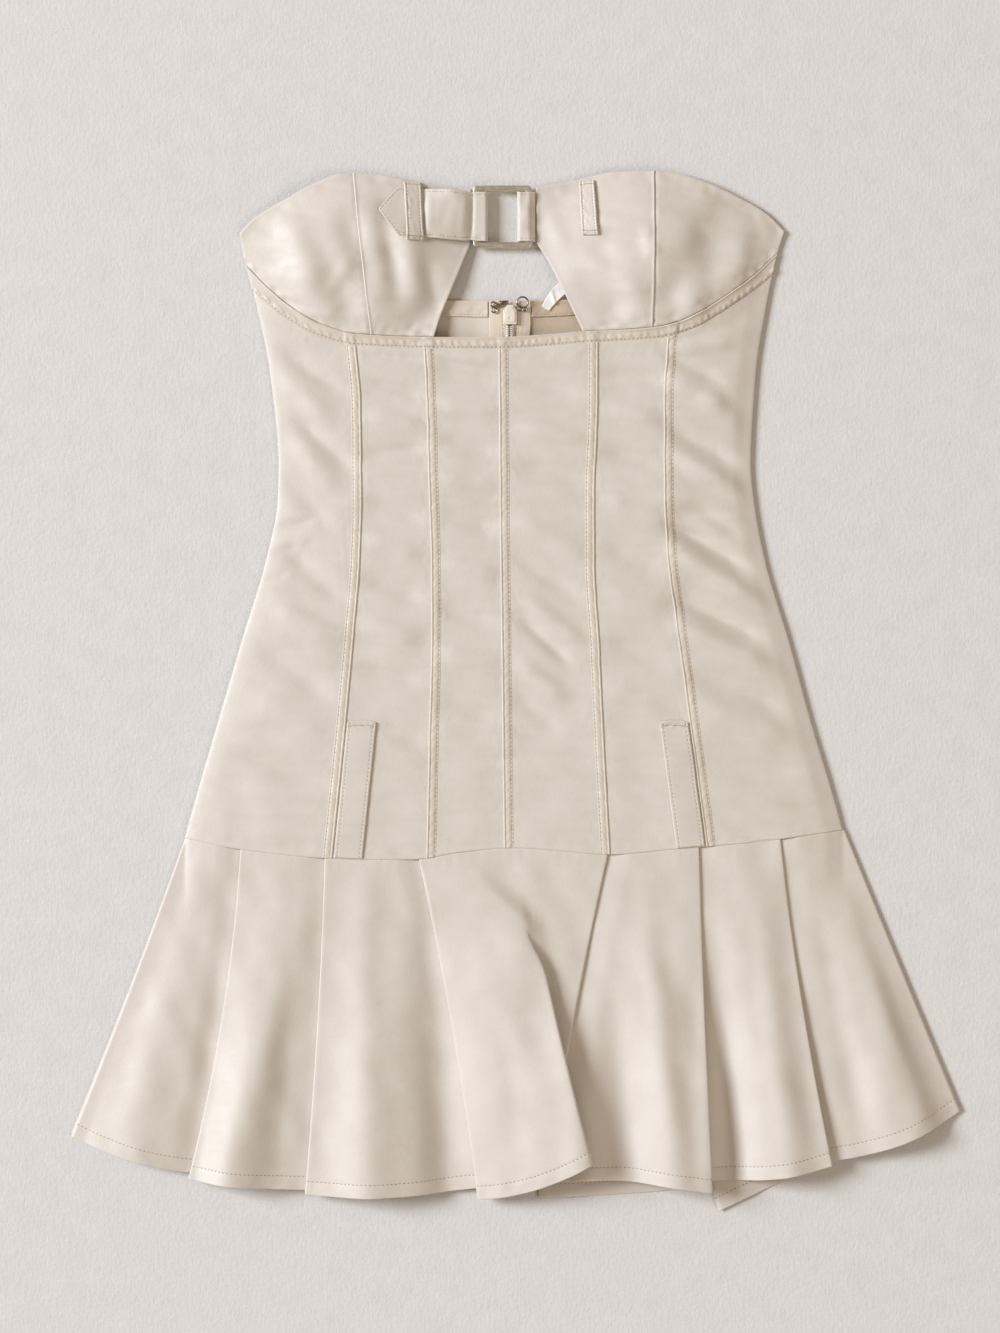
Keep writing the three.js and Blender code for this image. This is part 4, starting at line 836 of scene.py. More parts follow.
def welt(name, line, side, number):
    """A pocket welt: a doubled strip, bar-tacked near its slightly crowned top."""
    near, far_off = (WELT_NEAR, WELT_FAR) if side > 0 else (-WELT_FAR, -WELT_NEAR)
    wide = far_off - near
    columns = [shifted(line, near + wide * t) for t in stations(wide, 1.3, (WELT_INSET, wide - WELT_INSET))]
    crown = lambda t: -21.5 + 1.2 * np.sin(np.pi * t)
    shares = stations(91, 1.3, (WELT_TACK,))
    x = np.zeros((len(shares), len(columns)))
    y = np.zeros_like(x)
    for j, col in enumerate(columns):
        t = j / (len(columns) - 1)
        low = meet(col, bodice_bottom)
        y[:, j] = lerp(crown(t), low, shares)
        x[:, j] = col(y[:, j])
    middle = on_front(x, y, ON_CLOTH + CLOTH / 2 - 0.15)

    def relief(far, grid):
        total = groove(far["top"] - WELT_TACK, 0.22, 0.7)
        total = total + pucker(far["top"], grid, WELT_TACK, number, 3.5, 2.5, 0.12)
        total = total + grooves(far, ("left", "right"), WELT_INSET, 0.1)
        return total + 0.25 * bell(far["top"], 1.6)

    cloth = cloth_piece(name, middle, ["bodice_pocket_left" if side > 0 else "bodice_pocket_right"], relief)
    path, up = cloth.line("top", WELT_TACK, 0.04, 0.96, 0.05)
    zig = np.linalg.norm(path - path[0], axis=1)
    path = path + np.stack([0 * zig, 0.5 * (np.floor(zig / 1.1) % 2 - 0.5) * 1.4, 0 * zig], -1)
    stitch("stitches_bodice", (path, up), 1.4, 1.4, 0.2)
    for edge in ("left", "right"):
        stitch("stitches_bodice", cloth.line(edge, WELT_INSET, 0.03, 1.0), 2.8, 1.8, 0.15)


make_bodice()
for k, line in enumerate(bones):
    channel(k, line)
welt("pocket_welt_left", bones[0], 1, 91)
welt("pocket_welt_right", bones[4], -1, 92)


# Band and cups


def make_band():
    columns = [between(left_side, right_side, t) for t in stations(BAND_LENGTH, 1.2)]
    rows = stations(BAND_WIDTH + 1, 0.8, (6.8,))
    x, y = plan(columns, shifted(bust_seam, 0.1), shifted(band_edge, -0.9), rows)
    middle = on_front(x, y, CLOTH / 2 + 0.2)

    def relief(far, grid):
        total = 0.42 * bell(far["top"] - 0.8, 0.7) + grooves(far, ["bottom"], BAND_INSET, 0.34)
        total = total + pucker(far["bottom"], grid, 4.6, 31, 4.6, 1.8, 0.2)
        x, y = grid[..., 0], grid[..., 1]
        slanted = np.sin(2 * math.pi * (x + 0.35 * y) / 6.1 + 2 * waves(x, y, 32, 7, 70))
        total = total + 0.2 * slanted * bell(far["bottom"] - 4.4, 1.9, 4)
        for line in bones:
            total = total + 0.55 * smooth((CHANNEL_HALF + 0.7 - np.abs(x - line(y))) / 1.5)
        return total + 0.25 * bell(far["bottom"] - 4.6, 2.2) - 0.6 * smooth((1.5 - far["bottom"]) / 0.6)

    rests_on = ["back_left", "back_right"]
    cloth = cloth_piece("underbust_band", middle, rests_on, relief, material=SEAM, allowance=5)
    stitch("stitches_bodice", cloth.line("bottom", BAND_INSET, above=0.06), 2.9, 1.8, 0.24)


def cup(name, start, end, top, seed, curl):
    """A cup piece between two column lines. curl is the side where it turns down to the side seam."""
    wide = float(np.max([abs(end(y) - start(y)) for y in (260, 310)]))
    shares = curled(wide, 1.5, curl == "left") if curl else stations(wide, 1.5)
    columns = [between(start, end, t) for t in shares]
    x, y = plan(columns, top, shifted(bust_seam, SEAM_SIDE), stations(CUP_LENGTH, 1.5))

    def relief(far, grid):
        total = seam_dip(far, ("bottom",), 0.4, 0.9)
        total = total + pucker(far["bottom"], grid, 3, seed, 9, 6, 0.22)
        outer, inner = ("left", "right") if "left" in name else ("right", "left")
        meets = inner if "side" in name else outer
        total = total + pucker(far[meets], grid, 4, seed + 2, 8, 3, 0.06)
        if "centre" in name:
            total = total + 0.18 * bell(far[inner] - 1.4, 1.3)
            total = total + 0.45 * bell(far[meets] - 0.8, 0.8)
        else:
            total = total + seam_dip(far, (meets,), 0.35, 1.6)
        total = total + 0.2 * bell(far["top"] - 1.8, 1.6)
        return total + pucker(far["top"], grid, 5, seed + 1, 12, 6, 0.12)

    rests_on = ["back_left" if "left" in name else "back_right"]
    cloth_piece(name, on_front(x, y, CLOTH / 2), rests_on, relief)


def make_cups():
    cup("cup_side_left", left_side, shifted(cup_seam_left, 0.4), left_top, 41, "left")
    cup("cup_centre_left", shifted(cup_seam_left, SEAM_SIDE), keyhole_left, left_top, 44, None)
    cup("cup_centre_right", keyhole_right, shifted(cup_seam_right, -SEAM_SIDE), right_top, 47, None)
    cup("cup_side_right", shifted(cup_seam_right, -0.4), right_side, right_top, 50, "right")


make_band()
make_cups()


# Belt

BUCKLE = {"left": -30, "right": 11, "bottom": 309.6, "top": 353.2, "bar": 4.2, "corner": 3}
BUCKLE_Z = 4.5
BUCKLE_WALL = 2.2
BUCKLE_EDGE = 0.75
BELT_MIDDLE = (BUCKLE["bottom"] + BUCKLE["top"]) / 2
BELT_HALF = (BUCKLE["top"] - BUCKLE["bottom"]) / 2 - BUCKLE["bar"] - GAP
UNDER_BAR = BUCKLE_Z - GAP - CLOTH / 2
OVER_BAR = BUCKLE_Z + BUCKLE_WALL + GAP + CLOTH / 2
WRAP_RADIUS = (OVER_BAR - UNDER_BAR) / 2
WRAP_LEFT = -22.2
WRAP_RIGHT = 3.3
BELT_ON_CUP = 2 * CLOTH + 0.3
BELT_TIP, BELT_SHOULDER, BELT_FOLD, BELT_CUP_END = -95.2, -82.0, -32.0, -64.0
BELT_HUMP = 4.5
BELT_LEAN = 0.065
BELT_INSET = 2  # its rows of stitches, in from its edges
BELT_CREASES = photo_rows([
    (474, 188, 471, 242, 1.3, -1.1), (466, 192, 462, 240, 3.2, 0.7), (452, 196, 440, 234, 4.5, -0.6),
    (430, 194, 428, 238, 3.5, 0.7), (444, 190, 462, 200, 4, 0.5), (424, 192, 423, 240, 1.8, -0.7),
    (409, 198, 402, 232, 4, 0.4),
])


def turn_points(centre, towards, count=14):
    angle = np.pi * (np.linspace(0, 1, count) - 0.5)
    middle = (OVER_BAR + UNDER_BAR) / 2
    return centre + towards * WRAP_RADIUS * np.cos(angle), middle + WRAP_RADIUS * np.sin(angle)


def make_belt_end():
    rows = 2 * stations(2 * BELT_HALF, 1.0, (BELT_INSET, 2 * BELT_HALF - BELT_INSET)) - 1
    bend_x, bend_z = turn_points(WRAP_LEFT, 1)
    below_x = np.linspace(float(keyhole_left(BELT_MIDDLE)) + 2 * GAP, WRAP_LEFT - 0.6, 6)
    tip_x = BELT_TIP + np.array([0.9, 0.5, 0.2, 0])
    above_x = np.concatenate([np.linspace(WRAP_LEFT - 0.6, BELT_TIP + 1.2, 66), tip_x])
    x = np.concatenate([below_x, bend_x, above_x])
    on_top = np.arange(len(x)) >= len(below_x) + len(bend_x)
    share = (x - BELT_TIP) / (BELT_SHOULDER - BELT_TIP)
    half = BELT_HALF * np.minimum(1, 0.05 + 0.95 * share)
    half = np.where(on_top, half, BELT_HALF)
    gather = np.where(on_top, -0.7 * bell(x + 31, 3) + 0.3 * bell(x + 45, 9), 0)
    y = BELT_MIDDLE + BELT_LEAN * np.maximum(0, BELT_FOLD - x) + rows[:, None] * (half + gather)
    xx = x + 0 * y
    blend = smooth((x - BELT_CUP_END) / (BELT_FOLD - BELT_CUP_END))
    hump = BELT_HUMP * np.sin(np.pi * np.clip((x - BELT_CUP_END) / (BELT_FOLD - BELT_CUP_END), 0, 1))
    z_top = lerp(plain_height(xx, y) + BELT_ON_CUP, OVER_BAR, blend) + hump * (1 - 0.12 * rows[:, None] ** 2)
    z_top = z_top + ridges(BELT_CREASES, xx, y, fold) * smooth((-27 - x) / 4)
    z_below = np.concatenate([np.full(len(below_x), UNDER_BAR), bend_z, np.zeros(len(above_x))])
    z = np.where(on_top, z_top, z_below)
    middle = np.stack([xx, y, z], -1)

    def relief(far, grid):
        total = grooves(far, ("top", "bottom"), BELT_INSET, 0.14)
        total = total + pucker(far["top"], grid, 2, 81, 5, 2, 0.1)
        return total + pucker(far["bottom"], grid, 2, 82, 5, 2, 0.1)

    cloth = cloth_piece("belt_end", middle, ["cup_centre_left"], relief, allowance=5)
    for edge in ("top", "bottom"):
        stitch("stitches_belt", cloth.line(edge, BELT_INSET, 0.24, 0.98), 2.6, 1.8, 0.17)


def make_strap_right():
    rows = 2 * stations(2 * BELT_HALF, 1.2, (BELT_INSET, 2 * BELT_HALF - BELT_INSET)) - 1
    seam = float(keyhole_right(BELT_MIDDLE)) - GAP - 0.1
    bend_x, bend_z = turn_points(WRAP_RIGHT, -1)
    below_x = np.linspace(seam, WRAP_RIGHT + 0.6, 8)
    above_x = np.linspace(WRAP_RIGHT + 0.6, seam, 18)
    x = np.concatenate([below_x, bend_x, above_x])
    fall = 2.2 * smooth((above_x - 8) / (seam - 8))
    z = np.concatenate([np.full(len(below_x), UNDER_BAR), bend_z, OVER_BAR - fall])
    y = BELT_MIDDLE + rows[:, None] * BELT_HALF + 0 * x
    shown = np.arange(len(x)) >= len(below_x) + 4
    crease = 0.35 * waves(x + 0 * y, y, 84, 8, 14) * shown
    middle = np.stack([x + 0 * y, y, z + crease], -1)
    relief = lambda far, grid: grooves(far, ("top", "bottom"), BELT_INSET, 0.12)
    cloth = cloth_piece("strap_right", middle, ["buckle"], relief, allowance=5)
    for edge in ("top", "bottom"):
        stitch("stitches_belt", cloth.line(edge, BELT_INSET, 0.5, 0.98), 2.6, 1.8, 0.16)


LOOP_WIDTH, LOOP_INSET, LOOP_TACK = 11, 1.9, 3
LEFT_LOOP = ((-79.0, -67.0, 355.0), (-76.4, -65.4, 313.6))
RIGHT_LOOP = ((44.2, 55.0, 356.6), (46.4, 57.6, 317.8))


def belt_loop(name, corners, raise_by, seed):
    (x0, x1, y_top), (x2, x3, y_low) = corners
    across = stations(LOOP_WIDTH, 0.8, (LOOP_INSET, LOOP_WIDTH - LOOP_INSET))
    down = stations(y_top - y_low, 1.0, (LOOP_TACK, y_top - y_low - LOOP_TACK))
    y = lerp(y_top, y_low, down)[:, None] + 0 * across
    x = lerp(lerp(x0, x1, across), lerp(x2, x3, across), down[:, None])
    ends = np.minimum(down, 1 - down)[:, None]
    up = ON_CLOTH + raise_by * smooth(ends / 0.075) + CLOTH / 2
    middle = on_front(x, y, up + 0 * x)

    def relief(far, grid):
        total = 0.25 * bell(far["left"] - 0.9, 0.7) + 0.25 * bell(far["right"] - 0.9, 0.7)
        total = total + grooves(far, ("left", "right"), LOOP_INSET, 0.22, 0.42)
        total = total + grooves(far, ("top", "bottom"), LOOP_TACK, 0.3, 0.7)
        return total + pucker(far["left"], grid, 3, seed, 4, 4, 0.09)

    rests_on = ["cup_centre_left" if "left" in name else "cup_centre_right"]
    cloth = cloth_piece(name, middle, rests_on, relief, allowance=5)
    for edge in ("left", "right"):
        stitch("stitches_belt", cloth.line(edge, LOOP_INSET), 2.4, 1.7, 0.17)
    for edge in ("top", "bottom"):
        stitch("stitches_belt", cloth.line(edge, LOOP_TACK, 0.1, 0.9), 0.9, 1.3, 0.2)


def round_corners(left, right, low, high, radius, count):
    """A rectangle with round corners, count points to a corner."""
    left, right, low, high = left + radius, right - radius, low + radius, high - radius
    points = []
    for x, y, start in ((right, high, 0), (left, high, 90), (left, low, 180), (right, low, 270)):
        for a in np.radians(start + np.linspace(0, 90, count)):
            points.append((x + radius * math.cos(a), y + radius * math.sin(a)))
    return points


def make_buckle():
    """The frame: a rectangular section with round edges, swept round a rectangle with round corners."""
    b, rings = BUCKLE, []
    for d, z in round_corners(0, b["bar"], 0, BUCKLE_WALL, BUCKLE_EDGE, 6):
        corner = lerp(b["corner"], 1, d / b["bar"])
        loop = round_corners(b["left"] + d, b["right"] - d, b["bottom"] + d, b["top"] - d, corner, 9)
        rings.append([(x, y, BUCKLE_Z + z) for x, y in loop])
    points = np.array(rings)
    quads = ring_faces(*points.shape[:2], True)
    points = points.reshape(-1, 3)
    finish_piece(add_mesh("buckle_frame", points, outward(points, quads)), METAL, "pale_metal", "buckle")


make_belt_end()
make_strap_right()
belt_loop("belt_loop_left", LEFT_LOOP, CLOTH + 0.8, 86)
belt_loop("belt_loop_right", RIGHT_LOOP, 0.6, 87)
make_buckle()


# Back, its facings and the zip

ZIP_X = -4.3
PULL_Y, PULL_Z, PULL_LENGTH, PULL_HALF, PULL_WALL = 263, 1.6, 21.5, 2.5, 0.8
BACK_LIFT = 2.6
ZIP_END = -86
TAPE_WIDTH, TAPE_INSET = 13.6, 3.6
FACING_WIDTH, FACING_INSET = 11.2, 1.5
COIL_Z = ON_CLOTH + STRIP + GAP
SLIDER = {"top": 269.8, "bottom": 256.2, "half": 4.8, "roof": 4.2, "roof_half": 1.8, "wall": 2.6}


def back_lift(x, y):
    across = 1 - smooth((np.abs(x - ZIP_X) - 4.5) / 22)
    return BACK_LIFT * across * (1 - smooth((239 - y) / 22))


def zip_half(y):
    return SEAM_SIDE + 0.85 * (1 - smooth((np.abs(y - PULL_Y) - 6) / 12))


def zip_edge(side, off):
    return lambda y: ZIP_X + side * (zip_half(y) + off)


def on_back(x, y, off):
    ripple = 0.10 * (1 + waves(x, y, 95, 9, 60)) * smooth((np.abs(x - ZIP_X) - 12) / 20)
    return np.stack([x, y, back_lift(x, y) + off + ripple], -1)


def back_sheet(name, columns, edges, rows, off, rests_on, relief=None, **look):
    """A level piece of the back, between column lines and a top and a bottom edge."""
    x, y = plan(columns, *edges, rows)
    if x[0, 0] > x[0, -1]:
        x, y = x[:, ::-1], y[:, ::-1]
    return cloth_piece(name, on_back(x, y, off + look["thick"] / 2), rests_on, relief, **look)


def make_back():
    for name, side, edge in (("back_left", -1, left_side), ("back_right", 1, right_side)):
        word = name.split("_")[1]
        inner = "right" if side < 0 else "left"
        first = zip_edge(side, 0)
        shares = stations(175, 3.6)
        columns = [between(first, shifted(edge, -side * 0.8), t) for t in shares]
        rows = stations(380, 3.8)
        back = back_sheet(name, columns, (back_top, bodice_bottom), rows, 0, ["floor"], thick=CLOTH)
        # The right back's up-facing faces, its inside, take the painted-shade cream; the left back's take the
        # seam cream.
        back.piece.data.materials.append(SHADED_INSIDE if side > 0 else SEAM)
        for face in back.piece.data.polygons:
            face.material_index = int(face.normal.z > 0.5)

        end = shifted(edge, -side * 11)
        start = zip_edge(side, TAPE_WIDTH + 2 * GAP)
        columns = [between(start, end, t) for t in stations(160, 1.5)]
        rows = stations(FACING_WIDTH, 0.9, (FACING_INSET,))

        def relief(far, grid):
            total = 0.25 * bell(far["top"] - 1.2, 1.0) + grooves(far, ["bottom"], FACING_INSET, 0.2)
            return total + pucker(far["bottom"], grid, 3, 97, 6, 4, 0.14)

        edges = back_top, shifted(back_top, -FACING_WIDTH)
        # The right facing also takes the painted-shade cream, the left one the seam cream.
        facing = back_sheet(
            f"back_facing_{word}", columns, edges, rows, ON_CLOTH, [name], relief,
            thick=STRIP, material=SHADED_INSIDE if side > 0 else SEAM, slot="inside_cloth", allowance=5,
        )
        stitch("stitches_inside", facing.line("bottom", FACING_INSET), 2.6, 1.8, 0.17)

        across = stations(TAPE_WIDTH - 0.2, 0.9, (TAPE_INSET,))
        columns = [zip_edge(side, off) for off in 0.25 + (TAPE_WIDTH - 0.25) * across]
        rows = stations(358, 4.0)

        def weave(far, grid):
            ribs = 0.05 * np.sin(far[inner] * 2 * math.pi / 1.4)
            return ribs + grooves(far, [inner], TAPE_INSET, 0.15, 0.4)

        edges = back_top, lambda x: ZIP_END + 0 * x
        tape = back_sheet(
            f"zip_tape_{word}", columns, edges, rows, ON_CLOTH, [name], weave,
            thick=0.8, material=TAPE, slot="zip_tape", allowance=2,
        )
        stitch("stitches_inside", tape.line(inner, TAPE_INSET), 2.6, 1.8, 0.16)


def tube(points, radius, sides=8, closed=False):
    """Points and faces of a round wire along a path."""
    path = np.asarray(points, float)
    ahead = np.roll(path, -1, 0) if closed else np.concatenate([path[1:], path[-1:]])
    behind = np.roll(path, 1, 0) if closed else np.concatenate([path[:1], path[:-1]])
    along = ahead - behind
    along /= np.linalg.norm(along, axis=1, keepdims=True) + 1e-12
    guide = np.array([0.0, 0.0, 1.0]) + 0 * along
    guide[np.abs(along[:, 2]) > 0.9] = (1.0, 0.0, 0.0)
    side = np.cross(along, guide)
    side /= np.linalg.norm(side, axis=1, keepdims=True) + 1e-12
    up = np.cross(side, along)
    angle = 2 * np.pi * np.arange(sides) / sides
    ring = np.cos(angle)[None, :, None] * side[:, None] + np.sin(angle)[None, :, None] * up[:, None]
    rings = path[:, None] + radius * ring
    count = len(path)
    quads = ring_faces(count, sides, closed)[:, [0, 3, 2, 1]]
    verts = rings.reshape(-1, 3)
    triangles = []
    if not closed:
        tips = path[:1] - along[:1] * radius * 0.4, path[-1:] + along[-1:] * radius * 0.4
        verts = np.concatenate([verts, *tips])
        last = (count - 1) * sides
        for j in range(sides):
            after = (j + 1) % sides
            triangles.append((count * sides, after, j))
            triangles.append((count * sides + 1, last + j, last + after))
    return verts, quads, np.array(triangles, int).reshape(-1, 3)


def joined(name, parts):
    verts, quads, triangles, start = [], [], [], 0
    for v, q, t in parts:
        verts.append(v)
        quads.append(q + start)
        triangles.append(t + start)
        start += len(v)
    return add_mesh(name, np.concatenate(verts), np.concatenate(quads), np.concatenate(triangles))


def make_coils():
    """The zip's teeth: one small bent wire loop after another on each tape."""
    for name, side in (("zip_coil_left", -1), ("zip_coil_right", 1)):
        parts = []
        high = SLIDER["bottom"] - 0.4
        t = np.linspace(0, 1, 7)
        for y in np.arange(ZIP_END + 2.6, high, 1.3):
            lift = float(back_lift(ZIP_X, y))
            x = ZIP_X + side * (0.35 + 2.0 * t)
            z = COIL_Z + lift + 0.55 + 0.5 * np.sin(np.pi * t)
            parts.append(tube(np.stack([x, y + 0.45 * (t - 0.5), z], -1), 0.42, 5))
        y = np.linspace(ZIP_END + 2, high, 60)
        rail = np.stack([ZIP_X + side * 2.2 + 0 * y, y, COIL_Z + back_lift(ZIP_X, y) + 0.45], -1)
        parts.append(tube(rail, 0.4, 5))
        finish_piece(joined(name, parts), IVORY, "ivory_enamel", name)


def disc(x, y, radius, count):
    """The outline of a round hole."""
    angles = np.linspace(0, 2 * math.pi, count)[:-1]
    return [(x + radius * math.cos(a), y + radius * math.sin(a)) for a in angles]


def extruded(name, outline, holes, low, high, bevel, turn=None):
    """A flat plate from an outline and its holes, with rounded edges, turned into its place."""
    curve = bpy.data.curves.new(name, "CURVE")
    curve.dimensions = "2D"
    curve.fill_mode = "BOTH"
    curve.extrude = ((high - low) / 2 - bevel) * MM
    curve.bevel_depth = bevel * MM
    curve.bevel_resolution = 2
    curve.offset = -bevel * MM
    for loop in [outline, *holes]:
        spline = curve.splines.new("POLY")
        spline.points.add(len(loop) - 1)
        for point, (x, y) in zip(spline.points, loop):
            point.co = (x * MM, y * MM, 0, 1)
        spline.use_cyclic_u = True
    source = bpy.data.objects.new(name + "_source", curve)
    scene.collection.objects.link(source)
    bpy.context.view_layer.update()
    mesh = bpy.data.meshes.new_from_object(source)
    bpy.data.objects.remove(source)
    mesh.name = name
    points = np.zeros(len(mesh.vertices) * 3)
    mesh.vertices.foreach_get("co", points)
    points = points.reshape(-1, 3)
    points[:, 2] += (low + high) / 2 * MM
    mesh.vertices.foreach_set("co", (turn(points) if turn else points).ravel())
    thing = bpy.data.objects.new(name, mesh)
    scene.collection.objects.link(thing)
    return thing


def make_slider():
    s, h, z = SLIDER, SLIDER["half"], BACK_LIFT + COIL_Z
    right = [(h - 0.8, s["bottom"]), (h, s["bottom"] + 0.8)]
    right += [(h, s["top"] - s["roof"]), (s["roof_half"], s["top"])]
    left = [(-x, y) for x, y in right[::-1]]
    house = [(ZIP_X + x, y) for x, y in left[-1:] + right + left[:-1]]
    cap = [(ZIP_X + (x - ZIP_X) * 0.74, PULL_Y + (y - PULL_Y) * 0.78) for x, y in house]
    dimple = disc(ZIP_X, 260.4, 0.9, 16)
    top = z + 0.5 - PULL_Z
    neck = [(-2.1, -1.5), (2.1, -1.5), (2.1, top), (-2.1, top)]
    hole = [(-1.1, -0.75), (-1.1, 0.8), (1.1, 0.8), (1.1, -0.75)]

    def upright(p):
        return np.stack([p[:, 2] + ZIP_X * MM, p[:, 0] + PULL_Y * MM, p[:, 1] + PULL_Z * MM], -1)

    for name, *shape in (
        ("slider_body", house, [], z, z + s["wall"] - 0.5, 0.35),
        ("slider_plate", cap, [dimple], z + 1.7, z + s["wall"], 0.28),
        ("slider_bridge", neck, [hole], -0.6, 0.6, 0.15, upright),
    ):
        finish_piece(extruded(name, *shape), IVORY, "ivory_enamel", "zip_slider")


def make_pull():
    bar, window = PULL_WALL / 2, 3.4
    shoulder = -window - 2 * bar
    arc = np.linspace(math.pi, 2 * math.pi, 22)
    tip = -PULL_LENGTH + PULL_HALF
    tab = [(-2.1, bar), (-2.1, shoulder)]
    tab += [(PULL_HALF * math.cos(a), tip + PULL_HALF * math.sin(a)) for a in arc]
    tab += [(2.1, shoulder), (2.1, bar)]
    hole = [(-1.15, -bar), (-1.15, -bar - window), (1.15, -bar - window), (1.15, -bar)]
    holes = [hole, disc(0, tip + 0.4, 1, 18)]
    turn = lambda p: p + np.array([ZIP_X, PULL_Y, 0]) * MM
    pull = extruded("zip_pull_tab", tab, holes, PULL_Z - bar, PULL_Z + bar, 0.2, turn)
    finish_piece(pull, IVORY, "ivory_enamel", "zip_pull", body="zip_pull")


def wire_ring(x, y, z, radius, wire, sides=8):
    """A closed ring of round wire, level at a height."""
    angle = np.linspace(0, 2 * np.pi, 36)[:-1]
    path = np.stack([x + radius * np.cos(angle), y + radius * np.sin(angle), z + 0 * angle], -1)
    return tube(path, wire, sides, True)


def make_hook_and_eye():
    z = COIL_Z + 0.6 + 0.1 + float(back_lift(ZIP_X, 271.6))
    parts = [wire_ring(4.6, 271.6, z, 3.8, 0.6, 10)]
    parts += [wire_ring(4.6 + side * 1.7, 266.9, z, 1.3, 0.45) for side in (-1, 1)]
    finish_piece(joined("eye_wire", parts), WIRE, "pale_metal", "eye")
    z = COIL_Z + 0.6 + 0.1 + float(back_lift(ZIP_X, 268.6))
    parts = [wire_ring(x, y, z, 1.7, 0.55) for x, y in ((-15.9, 270.2), (-15.4, 266.2))]
    t = np.linspace(0, 1, 30)
    for off in (-0.75, 0.75):
        x = np.concatenate([-14.3 + 7.4 * t, -6.9 + 1.0 * np.sin(np.pi * t), -6.9 - 4.6 * t])
        lift = np.concatenate([0 * t, 0.75 * (1 - np.cos(np.pi * t)), 1.5 - 0.2 * t])
        y = np.concatenate([268.4 + 3.2 * t, 271.6 + 0 * t, 271.6 - 0.4 * t]) + off
        parts.append(tube(np.stack([x, y, z + lift], -1), 0.5, 8))
    finish_piece(joined("hook_wire", parts), WIRE, "pale_metal", "hook")


def make_label():
    t, s = np.meshgrid(stations(27, 0.9, (9.0,)), 2 * stations(8, 0.9) - 1)
    half = 4.6 - 1.6 * (1 - t) ** 2
    turn = np.radians(62 - 30 * t)
    x = 20.5 + 27 * (0.52 * t + 0.14 * t * t) - np.sin(turn) * half * s
    y = 267.5 + 27 * (0.86 * t - 0.16 * t * t) + np.cos(turn) * half * s
    crease = 0.7 * bell(t - 0.36 - 0.1 * s, 0.05) + 0.5 * t * s * s + 0.35 * np.sin(5 * t + s)
    z = back_lift(x, y) + COIL_Z + 0.35 + np.maximum(0, crease)
    middle = np.stack([x, y, z], -1)
    cloth_piece("label", middle, ["back_facing_right"], None, 0.5, LABEL, "white_label", 2)


make_back()
make_coils()
make_slider()
make_pull()
make_hook_and_eye()
make_label()


# Flounces: the rings of cloth in knife pleats, as sections from the hip seam to the hem

FLOUNCE_CLOTH = 0.65
FLOUNCE_GAP = 0.15
PLY = FLOUNCE_CLOTH + FLOUNCE_GAP
LAP_RUN = 18
HEM_ROLL = 0.62
FLAP_ROLL = 1.1
FLAP_RISE = 12
FLAP_EDGE = (2, 25.4, 52.7)
FLAP_START, FLAP_FULL, FLAP_DEPTH = 0.1, 0.42, 50
FLAP_CREST_AT = (0.04, 0.10, 0.15, 0.20, 0.25, 0.32, 0.5, 1.0)  # shares of the way down
FLAP_CREST = (-34, -25, -15, -4, 7, 12, 20, 45)  # where the fold's crest is there
# Pleats: where the fold is at the seam, half way down and at the hem, its depth, which edge lies on top, and
# how far that edge stands up at the hem.
FRONT_PLEATS = [
    (-191.9, -204.5, -228.4, 24, -1, 0), (-133, -138.3, -147, 24, -1, 0),
    (-67.9, -44.5, -26.5, 20, -1, 0),
    (64, 41.5, 22, 20, 1, 0.5),
    (127.3, 131.2, 136.2, 24, 1, 9.5), (184, 199, 219.8, 24, 1, 4),
]
# Panels: the hem at the start, middle and end, then the ridge's height and place.
FRONT_PANELS = [
    (-311.2, -327, -336, 4.5, 0.4), (-340.6, -345.4, -348.1, 8, 0.34), (-351, -351.8, -346.6, 9, 0.42),
    (-354.3, -346.4, -328, 4, 0.4), (-341, -341.8, -348.7, 9, 0.6), (-341.5, -339.4, -330.3, 8, 0.62),
    (-327.5, -316.6, -293.2, 10, 0.6),
]
FLAP_PANEL = 3
BACK_PLEATS = [
    (-160, -178, -200, 22, -1), (-98, -112, -130, 22, -1), (-36, -38, -40, 22, -1), (36, 37, 38, 22, 1),
    (98, 126, 161, 19.5, 1), (160, 190, 226, 22, 1),
]
BACK_PANELS = [
    (-309, -324, -334, 0, 0.5), (-334, -339, -341, 0, 0.5), (-341, -342.5, -341, 0, 0.5),
    (-341, -339, -338, 0, 0.5), (-354.5, -350.6, -344, 0, 0.5), (-363.75, -344, -326, 0, 0.5),
    (-324, -308, -291, 0, 0.5),
]
SKIRT_DOWN = (100, 225, 340)
SKIRT_EDGES = ((-230.8, -269.5, -316), (229, 270, 316))
FLOUNCE_LEFT = (-230.8, -269.5, -311.2)
FLOUNCE_RIGHT = (229, 270, 311.2)


def along(fold, v):
    """A smooth curve through three values at 0, a half and 1."""
    return fold[0] * (1 - v) * (1 - 2 * v) + fold[1] * 4 * v * (1 - v) + fold[2] * v * (2 * v - 1)


def hem_at(panel, start, end, x):
    return along(panel, np.clip((x - start) / (end - start), 0, 1))


def peaked(t, peak):
    """Rises softly to 1 at the peak's place and falls again."""
    return smooth(np.where(t < peak, t / peak, (1 - t) / (1 - peak)))


def front_level(x, v):
    edge = np.minimum(x - along(FLOUNCE_LEFT, v), along(FLOUNCE_RIGHT, v) - x)
    spread = FRONT_LIFT + CLOTH / 2 + 6.3 * smooth(edge / 90)
    return lerp(front_height(x, hip_seam(x)) + CLOTH / 2, spread, smooth(v / 0.3))


def fold_arc(x, from_z, to_z, towards, count):
    """A half circle at a fold, whose outermost point is at x."""
    radius = abs(to_z - from_z) / 2
    way = np.sign(to_z - from_z)
    angle = np.pi * (np.linspace(0, 1, count + 1) - 0.5)
    xs = x - towards * radius + towards * radius * np.cos(angle)
    return np.stack([xs, (from_z + to_z) / 2 + way * radius * np.sin(angle)], -1)


